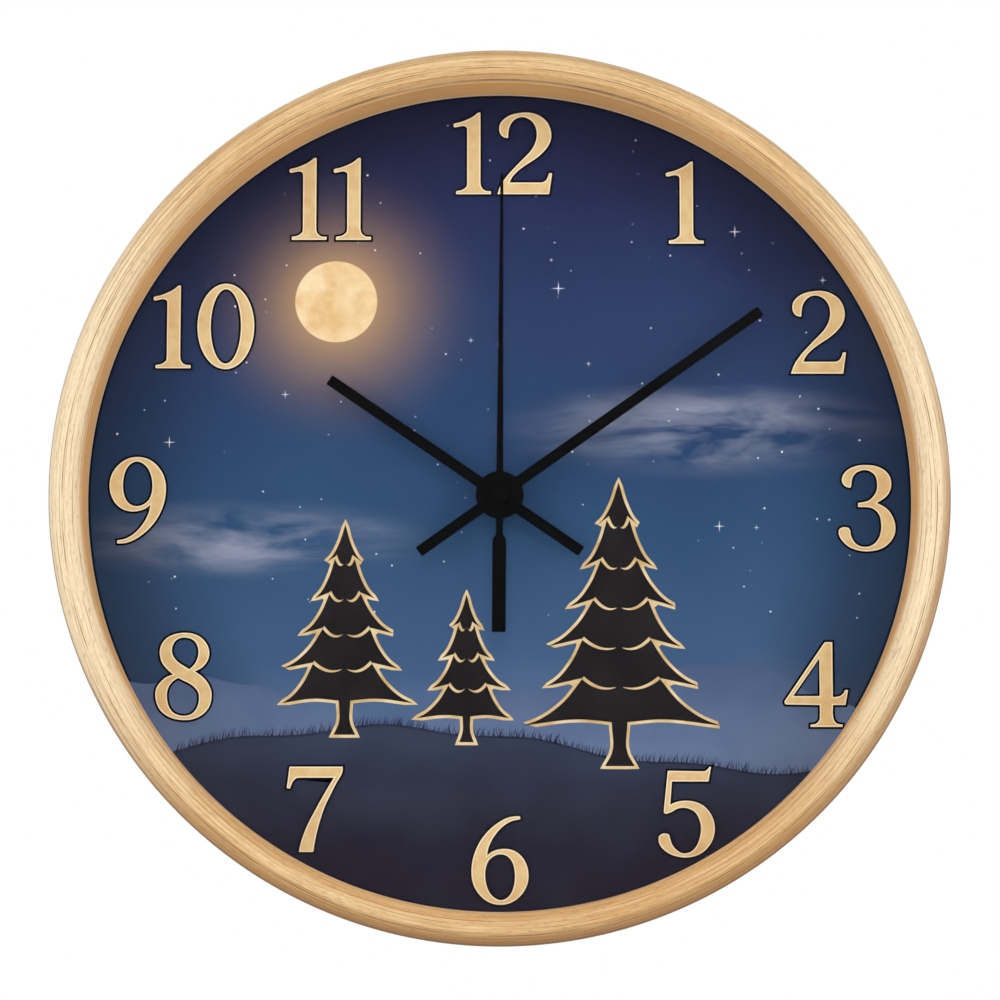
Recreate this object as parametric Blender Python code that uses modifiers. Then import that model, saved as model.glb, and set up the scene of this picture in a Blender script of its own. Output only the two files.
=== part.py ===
"""Round wall clock: a bent wooden frame, a clear lens, a printed dial, three hands and a battery movement.

Sizes are in metres. The clock hangs upright with +Z up and faces -Y, and the wall is the plane y = 0.
Every piece is laid out on one upright plan: x to the right and y up as seen from the front, and z out from
the wall. The empty "shaft" carries that plan and stands on the axis that the three hands turn about.
"""
from math import acos, asin, cos, degrees, hypot, pi, radians, sin

import bmesh
import bpy
from mathutils import Matrix, Vector

# Clearances between pieces that touch, turn or slide in each other
SEAT_GAP = 0.0003
RUNNING_GAP = 0.00015
AIR_GAP = 0.0004
WALL_CLEARANCE = 0.0017

# Wooden frame, turned about the middle of the clock
FRAME_RADIUS = 0.127
FRAME_WALL = 0.0072
FRAME_BACK_CHAMFER = 0.0012
LIP_WIDTH = 0.0023
LIP_DEPTH = 0.004
LIP_ROUND = 0.003
NOSE_SET_BACK = 0.0095
SHAFT_RISE = 0.0002

# Lens, the liner that spaces it from the dial, and the dial
LENS_THICKNESS = 0.002
LINER_LENGTH = 0.0161
DIAL_THICKNESS = 0.003

# Hanger plate, and the nail that the clock hangs on
HANGER_THICKNESS = 0.001
HANGER_WIDTH = 0.024
HANGER_BELOW = 0.011
NAIL_HEIGHT = 0.046
NAIL_SLOT_WIDTH = 0.0045
NAIL_HEAD_HOLE = 0.0095
NAIL_DROP = 0.009
HANGER_MARGIN = 0.006
HANGER_STANDOFF = 0.0045

# Dial clips and their screws
CLIP_COUNT = 4
CLIP_WIDTH = 0.009
CLIP_REACH = 0.010
CLIP_HEIGHT = 0.011
CLIP_THICKNESS = 0.0008
SCREW_RADIUS = 0.0012
SCREW_HEAD_RADIUS = 0.0025
SCREW_HEAD_HEIGHT = 0.0014
SCREW_LENGTH = 0.0055
SCREW_CROWN_RADIUS = 0.0017

# Movement case. The module of the teeth follows its width, and so does all that is laid out in modules
CASE_WIDTH = 0.056
MODULES_ACROSS = 140
MODULE = CASE_WIDTH / MODULES_ACROSS
CASE_WALL = 0.0015
CASE_CORNER = 0.004
CASE_HALF = CASE_WIDTH / 2
BAY_FLOOR = 0.0008
BAY_WALL = 0.001
BAY_END_WALL = 0.00165
COVER_THICKNESS = 0.0014
COVER_RECESS = 0.0012
COVER_RIB_HEIGHT = 0.0006
COVER_RIB_WIDTH = 0.001
COVER_RIBS = 2
COVER_RIB_START = 0.004
COVER_RIB_PITCH = 0.003
POST_RADIUS = 0.0013
POST_SHOULDER = 5.25 * MODULE
POST_INSET = 6.5 * MODULE
TRAIN_CLEARANCE = 0.00094
BRIDGE_THICKNESS = 0.0009
BRIDGE_CLEARANCE = 0.0005

# Battery, which fills its bay between the two leaf contacts
BATTERY_RADIUS = 0.00725
BATTERY_NUB_RADIUS = 0.0027
BATTERY_NUB_LENGTH = 0.001
BATTERY_EDGE = 0.0005
CONTACT_THICKNESS = 0.0004
CONTACT_WIDTH = 0.009
CONTACT_HEIGHT = 0.0125
CONTACT_BOW = 0.0001

# Threaded bushing, its nut and washers
BUSHING_RADIUS = 0.004
BUSHING_BORE = 0.0028
BUSHING_FLANGE = 0.0055
BUSHING_FLANGE_THICKNESS = 0.0007
GASKET_RADIUS = 0.0095
GASKET_THICKNESS = 0.0008
WASHER_RADIUS = 0.0068
WASHER_THICKNESS = 0.0005
NUT_ACROSS_FLATS = 0.0105
NUT_THICKNESS = 0.002
BUSHING_PROUD = 0.0004

# Wheels of the train: tooth counts, tooth sizes and the directions between arbors
WHEEL_THICKNESS = 0.0009
PINION_REACH = 0.00095
ARBOR_RADIUS = 0.0005
PIVOT_DEPTH = 0.0008
ROTOR_TEETH = 6
STEP_TEETH = 36
STEP_PINION = 6
SECONDS_TEETH = 30
SECONDS_PINION = 6
THIRD_TEETH = 45
THIRD_PINION = 6
CENTRE_TEETH = 48
MINUTE_PINION = 12
MOTION_TEETH = 36
MOTION_PINION = 10
HOUR_TEETH = 40
KNOB_TEETH = 18
THIRD_DIRECTION = 150
STEP_DIRECTION = 30
ROTOR_DIRECTION = 60
MOTION_DIRECTION = 90
KNOB_DIRECTION = 110
PINION_ADDENDUM = 0.8
WHEEL_ADDENDUM = 0.9
DEDENDUM = 1.1
PINION_ROOT_SHARE = 0.40
WHEEL_ROOT_SHARE = 0.42
TIP_SHARE = 0.14
PINION_LIMIT = 20

# Tubes on the shaft, one inside the other
HOUR_TUBE_RADIUS = 0.0025
HOUR_TUBE_BORE = 0.00185
MINUTE_TUBE_RADIUS = 0.0016
MINUTE_TUBE_BORE = 0.00075
HAND_ARBOR_RADIUS = 0.0006
KNOB_ARBOR_RADIUS = 0.0012
KNOB_RADIUS = 13.75 * MODULE
KNOB_THICKNESS = 0.0015
KNOB_NOTCHES = 12
KNOB_NOTCH_RADIUS = 0.0005

# Motor and circuit board
MAGNET_RADIUS = 6.25 * MODULE
MAGNET_LENGTH = 0.0017
STATOR_THICKNESS = 0.001
STATOR_HOLE = MAGNET_RADIUS + AIR_GAP
STATOR_LOBE = 11.5 * MODULE
STATOR_ARM = 8 * MODULE
CORE_THICKNESS = 0.001
CORE_WIDTH = 6.5 * MODULE
CORE_X = 53.5 * MODULE
CORE_TOP = 49 * MODULE
CORE_BOTTOM = -10 * MODULE
BOBBIN_FLANGE_RIM = 0.0004
BOBBIN_FLANGE_LENGTH = 0.0008
COIL_LENGTH = 42.5 * MODULE
BOARD_WIDTH = 27.5 * MODULE
BOARD_HEIGHT = 21.25 * MODULE
BOARD_THICKNESS = 0.001
BOARD_X = -36.25 * MODULE
BOARD_Y = 46.25 * MODULE
SMALL_POST_RADIUS = 0.001
BOARD_POST_SPREAD = 8.25 * MODULE
CHIP_RADIUS = 5.5 * MODULE
CHIP_HEIGHT = 0.0012

# Hands
HAND_THICKNESS = 0.0005
HAND_WIDTH = 0.0031
HOUR_HAND_LENGTH = 0.059
MINUTE_HAND_LENGTH = 0.0914
HAND_TAIL = 0.0281
HUB_RADIUS = 0.0068
HUB_RIM = 0.0009
SECOND_HAND_LENGTH = 0.0926
SECOND_HAND_ROOT = 0.002
SECOND_HAND_TIP = 0.00085
SECOND_TAIL = 0.0392
WEIGHT_START = 0.0116
WEIGHT_WIDTH = 0.0039
WEIGHT_SHOULDER = 0.0012
CAP_RADIUS = 0.0029
CAP_HEIGHT = 0.0014
CAP_EDGE = 0.0003
CAP_TOP_RADIUS = 0.0018
COLLET_WALL = 0.0009
HAND_PITCH = 0.0019
FIRST_HAND = 0.0010

# The time at rest, as clockwise angles from twelve
HOUR_ANGLE = 304.5
MINUTE_ANGLE = 54.6
SECOND_ANGLE = 0.4

# Facets
RING_STEPS = 80
ROUND_STEPS = 28
SMALL_STEPS = 12
HAND_STEPS = 24
NUT_SIDES = 6
WELD = 0.00001
CUT_OVERRUN = 0.001
NOSE_STEPS = 6
LIP_STEPS = 3
LOBE_STEPS = 8

# Distances out from the wall, from the back of the case to the front of the frame
case_depth = BAY_FLOOR + SEAT_GAP + 2 * BATTERY_RADIUS
case_back = WALL_CLEARANCE
case_front = case_back + case_depth
hanger_back = case_front + SEAT_GAP
hanger_front = hanger_back + HANGER_THICKNESS
gasket_back = hanger_front + SEAT_GAP
gasket_front = gasket_back + GASKET_THICKNESS
dial_back = gasket_front + SEAT_GAP
screw_out = dial_back - SEAT_GAP - CLIP_HEIGHT / 2
dial_front = dial_back + DIAL_THICKNESS
liner_back = dial_front + SEAT_GAP
liner_front = liner_back + LINER_LENGTH
lens_back = liner_front + SEAT_GAP
lens_front = lens_back + LENS_THICKNESS
lip_back = lens_front + SEAT_GAP
frame_front = lip_back + LIP_DEPTH

# Radii and heights of the frame about the shaft
rebate_radius = FRAME_RADIUS - FRAME_WALL
lip_radius = rebate_radius - LIP_WIDTH
inner_radius = rebate_radius - SEAT_GAP
middle = -SHAFT_RISE

# Inside of the case
case_inside = case_front - CASE_WALL
flange_front = case_inside - SEAT_GAP
flange_back = flange_front - BUSHING_FLANGE_THICKNESS
layer_pitch = WHEEL_THICKNESS + AIR_GAP
train_half = CASE_HALF - CASE_WALL
train_bottom = -(CENTRE_TEETH / 2 + WHEEL_ADDENDUM) * MODULE - TRAIN_CLEARANCE
bay_top = train_bottom - BAY_WALL
bay_bottom = bay_top - 2 * (BATTERY_RADIUS + SEAT_GAP)
case_bottom = bay_bottom - BAY_WALL
bay_half = CASE_HALF - BAY_END_WALL
battery_half = bay_half - CONTACT_BOW - CONTACT_THICKNESS - 2 * SEAT_GAP
cover_back = case_back + COVER_RECESS
cover_front = cover_back + COVER_THICKNESS


def layer_back(layer):
    """Distance from the wall to the back of a layer of wheels, the first being nearest to the dial."""
    return flange_back - AIR_GAP - WHEEL_THICKNESS - (layer - 1) * layer_pitch


bridge_front = layer_back(6) - BRIDGE_CLEARANCE
bridge_back = bridge_front - BRIDGE_THICKNESS
arbor_front = case_inside + PIVOT_DEPTH
arbor_back = bridge_back + SEAT_GAP / 2
stator_back = layer_back(6) + WHEEL_THICKNESS + SEAT_GAP
stator_front = stator_back + STATOR_THICKNESS
core_back = stator_front + SEAT_GAP
core_front = core_back + CORE_THICKNESS
core_out = (core_back + core_front) / 2
bobbin_flange_radius = core_out - bridge_front - SEAT_GAP
coil_radius = bobbin_flange_radius - BOBBIN_FLANGE_RIM
board_front = layer_back(4) - AIR_GAP
board_back = board_front - BOARD_THICKNESS

# Fronts of the pieces on the shaft in front of the dial
washer_back = dial_front + SEAT_GAP
nut_back = washer_back + WASHER_THICKNESS + SEAT_GAP
nut_front = nut_back + NUT_THICKNESS
bushing_front = nut_front + BUSHING_PROUD
hour_hand_back = bushing_front + FIRST_HAND
minute_hand_back = hour_hand_back + HAND_PITCH
second_hand_back = minute_hand_back + HAND_PITCH


def polar(length, angle):
    """Point at a length and an angle in degrees, counter-clockwise from the right."""
    return Vector((length * cos(radians(angle)), length * sin(radians(angle))))


def pitch_distance(first, second, module):
    """Distance between two arbors whose wheels mesh."""
    return module * (first + second) / 2


# Arbors of the train on the plan
third_distance = pitch_distance(THIRD_PINION, CENTRE_TEETH, MODULE)
third_at = polar(third_distance, THIRD_DIRECTION)
step_at = polar(third_distance, STEP_DIRECTION)
rotor_at = step_at + polar(pitch_distance(ROTOR_TEETH, STEP_TEETH, MODULE), ROTOR_DIRECTION)
motion_distance = pitch_distance(MINUTE_PINION, MOTION_TEETH, MODULE)
motion_at = polar(motion_distance, MOTION_DIRECTION)
knob_at = motion_at + polar(pitch_distance(KNOB_TEETH, MOTION_TEETH, MODULE), KNOB_DIRECTION)
seconds_third_module = 2 * third_distance / (SECONDS_PINION + THIRD_TEETH)
step_seconds_module = 2 * third_distance / (STEP_PINION + SECONDS_TEETH)
motion_hour_module = 2 * motion_distance / (MOTION_PINION + HOUR_TEETH)


def clear_scene():
    """Remove whatever the file holds."""
    for item in list(bpy.data.objects):
        bpy.data.objects.remove(item, do_unlink=True)


def new_collection(name):
    """Collection with this name, linked to the scene."""
    collection = bpy.data.collections.new(name)
    bpy.context.scene.collection.children.link(collection)
    return collection


clear_scene()
CLOCK = new_collection("wooden_wall_clock")
CUTTERS = new_collection("cutters")

PLAN = bpy.data.objects.new("shaft", None)
PLAN.location = (0, 0, -NAIL_HEIGHT)
PLAN.rotation_euler = (radians(90), 0, 0)
CLOCK.objects.link(PLAN)


def material(name, colour, roughness, metallic=0.0, alpha=1.0):
    """Principled material with one colour, roughness and metallic value."""
    made = bpy.data.materials.new(name)
    made.use_nodes = True
    shader = made.node_tree.nodes["Principled BSDF"]
    shader.inputs["Base Color"].default_value = (*colour, 1)
    shader.inputs["Roughness"].default_value = roughness
    shader.inputs["Metallic"].default_value = metallic
    shader.inputs["Alpha"].default_value = alpha
    made.diffuse_color = (*colour, alpha)
    return made


BEECH = material("pale_laminate_wood", (0.78, 0.60, 0.38), 0.5)
LINER_WOOD = material("liner_wood", (0.50, 0.29, 0.13), 0.55)
ACRYLIC = material("clear_acrylic", (0.95, 0.97, 0.98), 0.05, alpha=0.15)
PRINT = material("printed_board", (0.03, 0.05, 0.12), 0.5)
BLACK_PLASTIC = material("black_plastic", (0.012, 0.012, 0.013), 0.5)
WHITE_PLASTIC = material("white_acetal", (0.80, 0.80, 0.77), 0.4)
HAND_PAINT = material("black_painted_aluminium", (0.008, 0.008, 0.008), 0.4, 0.2)
STEEL = material("zinc_plated_steel", (0.55, 0.56, 0.58), 0.35, 1.0)
BRASS = material("brass", (0.70, 0.50, 0.20), 0.3, 1.0)
RUBBER = material("black_rubber", (0.015, 0.015, 0.015), 0.8)
COPPER = material("enamelled_copper", (0.45, 0.15, 0.05), 0.35, 0.8)
SOFT_IRON = material("stator_iron", (0.40, 0.40, 0.42), 0.45, 1.0)
BATTERY_JACKET = material("battery_jacket", (0.10, 0.11, 0.13), 0.35, 0.3)
BOARD_GREEN = material("circuit_board", (0.02, 0.16, 0.07), 0.4)


def place(item, at, turn=0.0, parent=PLAN):
    """Put an object on the plan at a point and a turn about the way out of the wall."""
    item.parent = parent
    item.location = (at[0], at[1], at[2] if len(at) > 2 else 0)
    item.rotation_euler = (0, 0, turn)
    return item


def smooth(mesh, angle=35):
    """Shade round walls smooth and keep edges sharper than the angle."""
    mesh.shade_smooth()
    mesh.set_sharp_from_angle(angle=radians(angle))


def finish(item, finish_material):
    """Put a made object in the clock's collection with its material."""
    CLOCK.objects.link(item)
    item.data.materials.clear()
    item.data.materials.append(finish_material)
    smooth(item.data)
    return item


def as_tool(item):
    """Put an object among the cutters, out of sight."""
    CUTTERS.objects.link(item)
    item.hide_render = True
    item.display_type = "WIRE"
    return item


def mesh_from_curve(name, curve_object):
    """Closed mesh of a filled and extruded curve, which is then removed."""
    bpy.context.scene.collection.objects.link(curve_object)
    bpy.context.view_layer.update()
    evaluated = curve_object.evaluated_get(bpy.context.evaluated_depsgraph_get())
    mesh = bpy.data.meshes.new_from_object(evaluated)
    mesh.name = name
    data = curve_object.data
    bpy.data.objects.remove(curve_object, do_unlink=True)
    bpy.data.curves.remove(data)
    shape = bmesh.new()
    shape.from_mesh(mesh)
    bmesh.ops.remove_doubles(shape, verts=shape.verts, dist=WELD / 2)
    bmesh.ops.recalc_face_normals(shape, faces=shape.faces)
    shape.to_mesh(mesh)
    shape.free()
    return mesh


def flat(name, outlines, back, front):
    """Flat piece with the given closed outlines, the later ones being holes, between two distances."""
    curve = bpy.data.curves.new(name, "CURVE")
    curve.dimensions = "2D"
    curve.fill_mode = "BOTH"
    curve.extrude = (front - back) / 2
    for outline in outlines:
        spline = curve.splines.new("POLY")
        spline.points.add(len(outline) - 1)
        for point, (x, y) in zip(spline.points, outline, strict=True):
            point.co = (x, y, 0, 1)
        spline.use_cyclic_u = True
    mesh = mesh_from_curve(name, bpy.data.objects.new(name, curve))
    mesh.transform(Matrix.Translation((0, 0, (front + back) / 2)))
    return bpy.data.objects.new(name, mesh)


def turned(name, profile, steps=ROUND_STEPS):
    """Piece turned about the way out of the wall. The profile is a closed loop of (radius, distance) that
    runs from front to back on its outer side. A point at radius 0 is on the axis."""
    mesh = bpy.data.meshes.new(name)
    shape = bmesh.new()
    corners = [shape.verts.new((radius, 0, out)) for radius, out in profile]
    open_at_axis = profile[0][0] == 0 and profile[-1][0] == 0
    for first, second in zip(corners, corners[1:], strict=False):
        shape.edges.new((first, second))
    if not open_at_axis:
        shape.edges.new((corners[-1], corners[0]))
    shape.to_mesh(mesh)
    shape.free()
    item = bpy.data.objects.new(name, mesh)
    screw = item.modifiers.new("turn", "SCREW")
    screw.steps = steps
    screw.render_steps = steps
    screw.use_merge_vertices = True
    screw.merge_threshold = WELD
    return item


def ring_profile(inner, outer, back, front):
    """Square section of a ring."""
    return [(outer, front), (outer, back), (inner, back), (inner, front)]


def rod_profile(radius, back, front):
    """Half section of a solid rod."""
    return [(0, front), (radius, front), (radius, back), (0, back)]


def through(radius, back, front):
    """Half section of a drill that runs clear through from one face to the other."""
    return rod_profile(radius, back - CUT_OVERRUN, front + CUT_OVERRUN)


def circle(radius, centre=(0, 0), steps=ROUND_STEPS):
    """Points round a circle."""
    angles = [2 * pi * i / steps for i in range(steps)]
    return [(centre[0] + radius * cos(angle), centre[1] + radius * sin(angle)) for angle in angles]


def rectangle(left, bottom, right, top):
    """Corners of an upright rectangle."""
    return [(left, bottom), (right, bottom), (right, top), (left, top)]


def rounded_rectangle(left, bottom, right, top, radius, steps=4):
    """Rectangle with round corners."""
    points = []
    centres = (
        (right - radius, top - radius, 0),
        (left + radius, top - radius, 90),
        (left + radius, bottom + radius, 180),
        (right - radius, bottom + radius, 270),
    )
    for x, y, start in centres:
        for i in range(steps + 1):
            corner = polar(radius, start + 90 * i / steps)
            points.append((x + corner.x, y + corner.y))
    return points


def combine(item, tool, operation, parent=None):
    """Join a tool to an object, or cut it away, with an exact Boolean."""
    if parent is None:
        tool.parent = item.parent
        tool.location = item.location
        tool.rotation_euler = item.rotation_euler
    as_tool(tool)
    boolean = item.modifiers.new(tool.name, "BOOLEAN")
    boolean.operation = operation
    boolean.solver = "EXACT"
    boolean.object = tool
    return item


def cut(item, tool):
    """Cut a tool that shares the object's place away from it."""
    return combine(item, tool, "DIFFERENCE")


def join(item, tool):
    """Join a tool that shares the object's place to it."""
    return combine(item, tool, "UNION")


def cut_at(item, tool, at):
    """Cut away a tool that stands at its own point of the plan."""
    place(tool, at)
    return combine(item, tool, "DIFFERENCE", parent=PLAN)


def join_at(item, tool, at):
    """Join a tool that stands at its own point of the plan."""
    place(tool, at)
    return combine(item, tool, "UNION", parent=PLAN)


def wheel_outline(teeth, module, turn=0.0):
    """Outline of a wheel or a pinion, with a tooth centred on the turn. Teeth are thin, to run free."""
    small = teeth < PINION_LIMIT
    addendum = PINION_ADDENDUM if small else WHEEL_ADDENDUM
    root_share = PINION_ROOT_SHARE if small else WHEEL_ROOT_SHARE
    pitch = module * teeth / 2
    tip = pitch + addendum * module
    root = pitch - DEDENDUM * module
    half_tooth = pi / teeth
    flat_tip = ((tip, -TIP_SHARE), (tip, TIP_SHARE))
    tips = flat_tip if small else ((tip, 0),)
    corners = ((root, -root_share), *tips, (root, root_share))
    points = []
    for tooth in range(teeth):
        centre = turn + 2 * pi * tooth / teeth
        for radius, share in corners:
            angle = centre + share * half_tooth
            points.append((radius * cos(angle), radius * sin(angle)))
    return points


def meshed_turn(driver_teeth, driver_turn, direction, teeth):
    """Turn of a wheel that meshes with a driver lying in the given direction from the driver's arbor."""
    share = ((direction - driver_turn) * driver_teeth / (2 * pi)) % 1.0
    return direction + pi + (share + 0.5) * 2 * pi / teeth


def arbor(name, wheels, at, rod, front=None, back=None):
    """Wheels and pinions on one arbor, each given by tooth_row, and the rod that carries them, if any."""
    item = None
    for number, (teeth, module, turn, back_out, front_out) in enumerate(wheels):
        piece = flat(f"{name}_teeth_{number}", [wheel_outline(teeth, module, turn)], back_out, front_out)
        if item is None:
            item = piece
            item.name = name
            place(item, at)
            finish(item, WHITE_PLASTIC)
        else:
            join(item, piece)
    if rod:
        join(item, turned(f"{name}_rod", rod_profile(rod, back, front), SMALL_STEPS))
    return item


def frame_profile():
    """Section of the wooden frame: a flat back, a straight outer wall, a full rounded nose and a lip in
    front of the lens."""
    nose_centre = (lip_radius + FRAME_RADIUS) / 2
    half_width = (FRAME_RADIUS - lip_radius) / 2
    nose_back = frame_front - NOSE_SET_BACK
    outer = []
    for step in range(NOSE_STEPS + 1):
        angle = pi / 2 * step / NOSE_STEPS
        outer.append((nose_centre + half_width * sin(angle), nose_back + NOSE_SET_BACK * cos(angle)))
    inner = []
    for step in range(1, LIP_STEPS + 1):
        angle = pi / 2 * step / LIP_STEPS
        inner.append((nose_centre - half_width * sin(angle), frame_front - LIP_ROUND * (1 - cos(angle))))
    back = [
        (FRAME_RADIUS, FRAME_BACK_CHAMFER),
        (FRAME_RADIUS - FRAME_BACK_CHAMFER, 0),
        (rebate_radius, 0),
        (rebate_radius, lip_back),
        (lip_radius, lip_back),
    ]
    return outer + back + inner[::-1]


def make_frame():
    """Bent wooden ring with a rebate for the lens, liner and dial, and pilot holes for the clip screws."""
    frame = turned("frame_ring", frame_profile(), RING_STEPS)
    place(frame, (0, middle))
    finish(frame, BEECH)
    for index in range(CLIP_COUNT):
        drill = rod_profile(SCREW_RADIUS + SEAT_GAP, -CUT_OVERRUN, SCREW_LENGTH + SEAT_GAP)
        pilot = turned(f"pilot_{index}", drill, SMALL_STEPS)
        aim_outwards(pilot, index, rebate_radius, screw_out)
        combine(frame, pilot, "DIFFERENCE", parent=PLAN)
    return frame


def clip_direction(index):
    """Direction of a dial clip about the middle of the frame, in degrees."""
    return 360 / CLIP_COUNT * (index + 0.5)


def aim_outwards(item, index, radius, out):
    """Stand a turned piece on the plan so that its axis points away from the middle of the frame."""
    direction = radians(clip_direction(index))
    item.parent = PLAN
    item.location = (radius * cos(direction), middle + radius * sin(direction), out)
    item.rotation_euler = (0, radians(90), direction)
    return item


def make_lens():
    """Clear disc behind the frame's lip."""
    lens = turned("lens", rod_profile(inner_radius, lens_back, lens_front), RING_STEPS)
    return finish(place(lens, (0, middle)), ACRYLIC)


def make_liner():
    """Thin wooden ring that spaces the lens from the dial and shows as the inner wall."""
    section = ring_profile(lip_radius, inner_radius, liner_back, liner_front)
    liner = turned("liner_ring", section, RING_STEPS)
    return finish(place(liner, (0, middle)), LINER_WOOD)


def make_dial():
    """Printed board with a hole for the bushing."""
    dial = turned("dial_board", rod_profile(inner_radius, dial_back, dial_front), RING_STEPS)
    finish(place(dial, (0, middle)), PRINT)
    hole = through(BUSHING_RADIUS + SEAT_GAP, dial_back, dial_front)
    return cut_at(dial, turned("dial_hole", hole), (0, 0))


def make_clips():
    """Bent steel clips that hold the dial in from behind, each with its screw into the frame."""
    foot_out = dial_back - SEAT_GAP
    wall = rebate_radius - SEAT_GAP
    for index in range(CLIP_COUNT):
        direction = radians(clip_direction(index))
        section = [
            (0, 0),
            (CLIP_HEIGHT, 0),
            (CLIP_HEIGHT, CLIP_THICKNESS),
            (CLIP_THICKNESS, CLIP_THICKNESS),
            (CLIP_THICKNESS, CLIP_REACH),
            (0, CLIP_REACH),
        ]
        clip = flat(f"dial_clip_{index + 1}", [section], -CLIP_WIDTH / 2, CLIP_WIDTH / 2)
        clip.data.transform(Matrix(((0, -1, 0, 0), (0, 0, 1, 0), (-1, 0, 0, 0), (0, 0, 0, 1))))
        edge = wall - (CLIP_WIDTH / 2) ** 2 / (2 * wall)
        clip.parent = PLAN
        clip.location = (edge * cos(direction), middle + edge * sin(direction), foot_out)
        clip.rotation_euler = (0, 0, direction)
        finish(clip, STEEL)
        drill = through(SCREW_RADIUS + SEAT_GAP, -CLIP_THICKNESS, 0)
        hole = turned(f"clip_hole_{index}", drill, SMALL_STEPS)
        aim_outwards(hole, index, edge, screw_out)
        combine(clip, hole, "DIFFERENCE", parent=PLAN)
        head = edge - CLIP_THICKNESS - SEAT_GAP
        profile = [
            (0, rebate_radius + SCREW_LENGTH - head),
            (SCREW_RADIUS, rebate_radius + SCREW_LENGTH - SCREW_RADIUS - head),
            (SCREW_RADIUS, 0),
            (SCREW_HEAD_RADIUS, 0),
            (SCREW_HEAD_RADIUS, -SCREW_HEAD_HEIGHT / 2),
            (SCREW_CROWN_RADIUS, -SCREW_HEAD_HEIGHT),
            (0, -SCREW_HEAD_HEIGHT),
        ]
        screw = turned(f"clip_screw_{index + 1}", profile, SMALL_STEPS)
        finish(aim_outwards(screw, index, head, screw_out), STEEL)


def make_hanger():
    """Bent steel plate clamped on the bushing, with a keyhole above the case for the nail."""
    half = HANGER_WIDTH / 2
    top = NAIL_HEIGHT + HANGER_MARGIN
    bend = CASE_HALF + SEAT_GAP + HANGER_THICKNESS
    upper_back = HANGER_STANDOFF
    upper_front = upper_back + HANGER_THICKNESS
    section = [
        (-HANGER_BELOW, hanger_back),
        (bend - HANGER_THICKNESS, hanger_back),
        (bend - HANGER_THICKNESS, upper_back),
        (top, upper_back),
        (top, upper_front),
        (bend, upper_front),
        (bend, hanger_front),
        (-HANGER_BELOW, hanger_front),
    ]
    hanger = flat("hanger_plate", [section], -half, half)
    hanger.data.transform(Matrix(((0, 0, 1, 0), (1, 0, 0, 0), (0, 1, 0, 0), (0, 0, 0, 1))))
    finish(place(hanger, (0, 0)), STEEL)
    hole = through(BUSHING_RADIUS + SEAT_GAP, hanger_back, hanger_front)
    cut(hanger, turned("hanger_bushing_hole", hole))
    cut(hanger, flat("keyhole", [keyhole_outline()], upper_back - CUT_OVERRUN, upper_front + CUT_OVERRUN))
    return hanger


def keyhole_outline(steps=10):
    """Outline of the keyhole: a round hole for the nail's head under a narrow slot for its shank."""
    slot = NAIL_SLOT_WIDTH / 2
    head = NAIL_HEAD_HOLE / 2
    head_centre = NAIL_HEIGHT - NAIL_DROP
    meet = degrees(asin(slot / head))
    points = []
    for i in range(steps + 1):
        corner = polar(slot, 180 * i / steps)
        points.append((corner.x, NAIL_HEIGHT + corner.y))
    for i in range(2 * steps + 1):
        corner = polar(head, 90 + meet + (360 - 2 * meet) * i / (2 * steps))
        points.append((corner.x, head_centre + corner.y))
    return points


def post_places():
    """Corners of the train's room where the posts stand."""
    x = train_half - POST_INSET
    return [(x, train_half - POST_INSET), (-x, train_half - POST_INSET), (-x, train_bottom + POST_INSET),
            (x, train_bottom + POST_INSET)]


def pivot_places():
    """Arbors that turn in the case front and the bridge, as name and place."""
    return (("third", third_at), ("step", step_at), ("rotor", rotor_at))


def make_case():
    """Moulded case: one shell with a room for the train and an open bay for the battery."""
    outline = rounded_rectangle(-CASE_HALF, case_bottom, CASE_HALF, CASE_HALF, CASE_CORNER)
    case = flat("case_front", [outline], case_back, case_front)
    finish(place(case, (0, 0)), BLACK_PLASTIC)
    cut(case, flat("train_room", [room_outline(0)], case_back - CUT_OVERRUN, case_inside))
    bay = rectangle(-bay_half, bay_bottom, bay_half, bay_top)
    cut(case, flat("battery_bay", [bay], case_back - CUT_OVERRUN, case_front - BAY_FLOOR))
    cut(case, turned("stem_hole", through(BUSHING_RADIUS + RUNNING_GAP, case_inside, case_front)))
    root = case_inside + CASE_WALL / 2
    for number, at in enumerate(post_places()):
        profile = [
            (0, root),
            (POST_SHOULDER, root),
            (POST_SHOULDER, bridge_front + SEAT_GAP),
            (POST_RADIUS, bridge_front + SEAT_GAP),
            (POST_RADIUS, cover_front + SEAT_GAP),
            (0, cover_front + SEAT_GAP),
        ]
        join_at(case, turned(f"post_{number}", profile, SMALL_STEPS), at)
    motion_post = rod_profile(SMALL_POST_RADIUS, layer_back(2) - RUNNING_GAP, root)
    join_at(case, turned("motion_post", motion_post, SMALL_STEPS), motion_at)
    for number, side in enumerate((-1, 1)):
        at = (BOARD_X + side * BOARD_POST_SPREAD, BOARD_Y)
        post = rod_profile(SMALL_POST_RADIUS, board_front + SEAT_GAP, root)
        join_at(case, turned(f"board_post_{number}", post, SMALL_STEPS), at)
    for number, y in enumerate((CORE_BOTTOM, CORE_TOP)):
        post = rod_profile(SMALL_POST_RADIUS, core_front + SEAT_GAP, root)
        join_at(case, turned(f"core_post_{number}", post, SMALL_STEPS), (CORE_X, y))
    depth = (case_inside - CUT_OVERRUN, arbor_front + SEAT_GAP / 2)
    for name, at in pivot_places():
        hole = rod_profile(ARBOR_RADIUS + RUNNING_GAP, *depth)
        cut_at(case, turned(f"{name}_pivot", hole, SMALL_STEPS), at)
    hole = rod_profile(KNOB_ARBOR_RADIUS + RUNNING_GAP, *depth)
    cut_at(case, turned("knob_pivot", hole, SMALL_STEPS), knob_at)
    return case


def room_outline(inset):
    """Outline of the train's room, drawn in by an amount all round."""
    side = train_half - inset
    return rounded_rectangle(-side, train_bottom + inset, side, side, CASE_CORNER - CASE_WALL)


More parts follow.
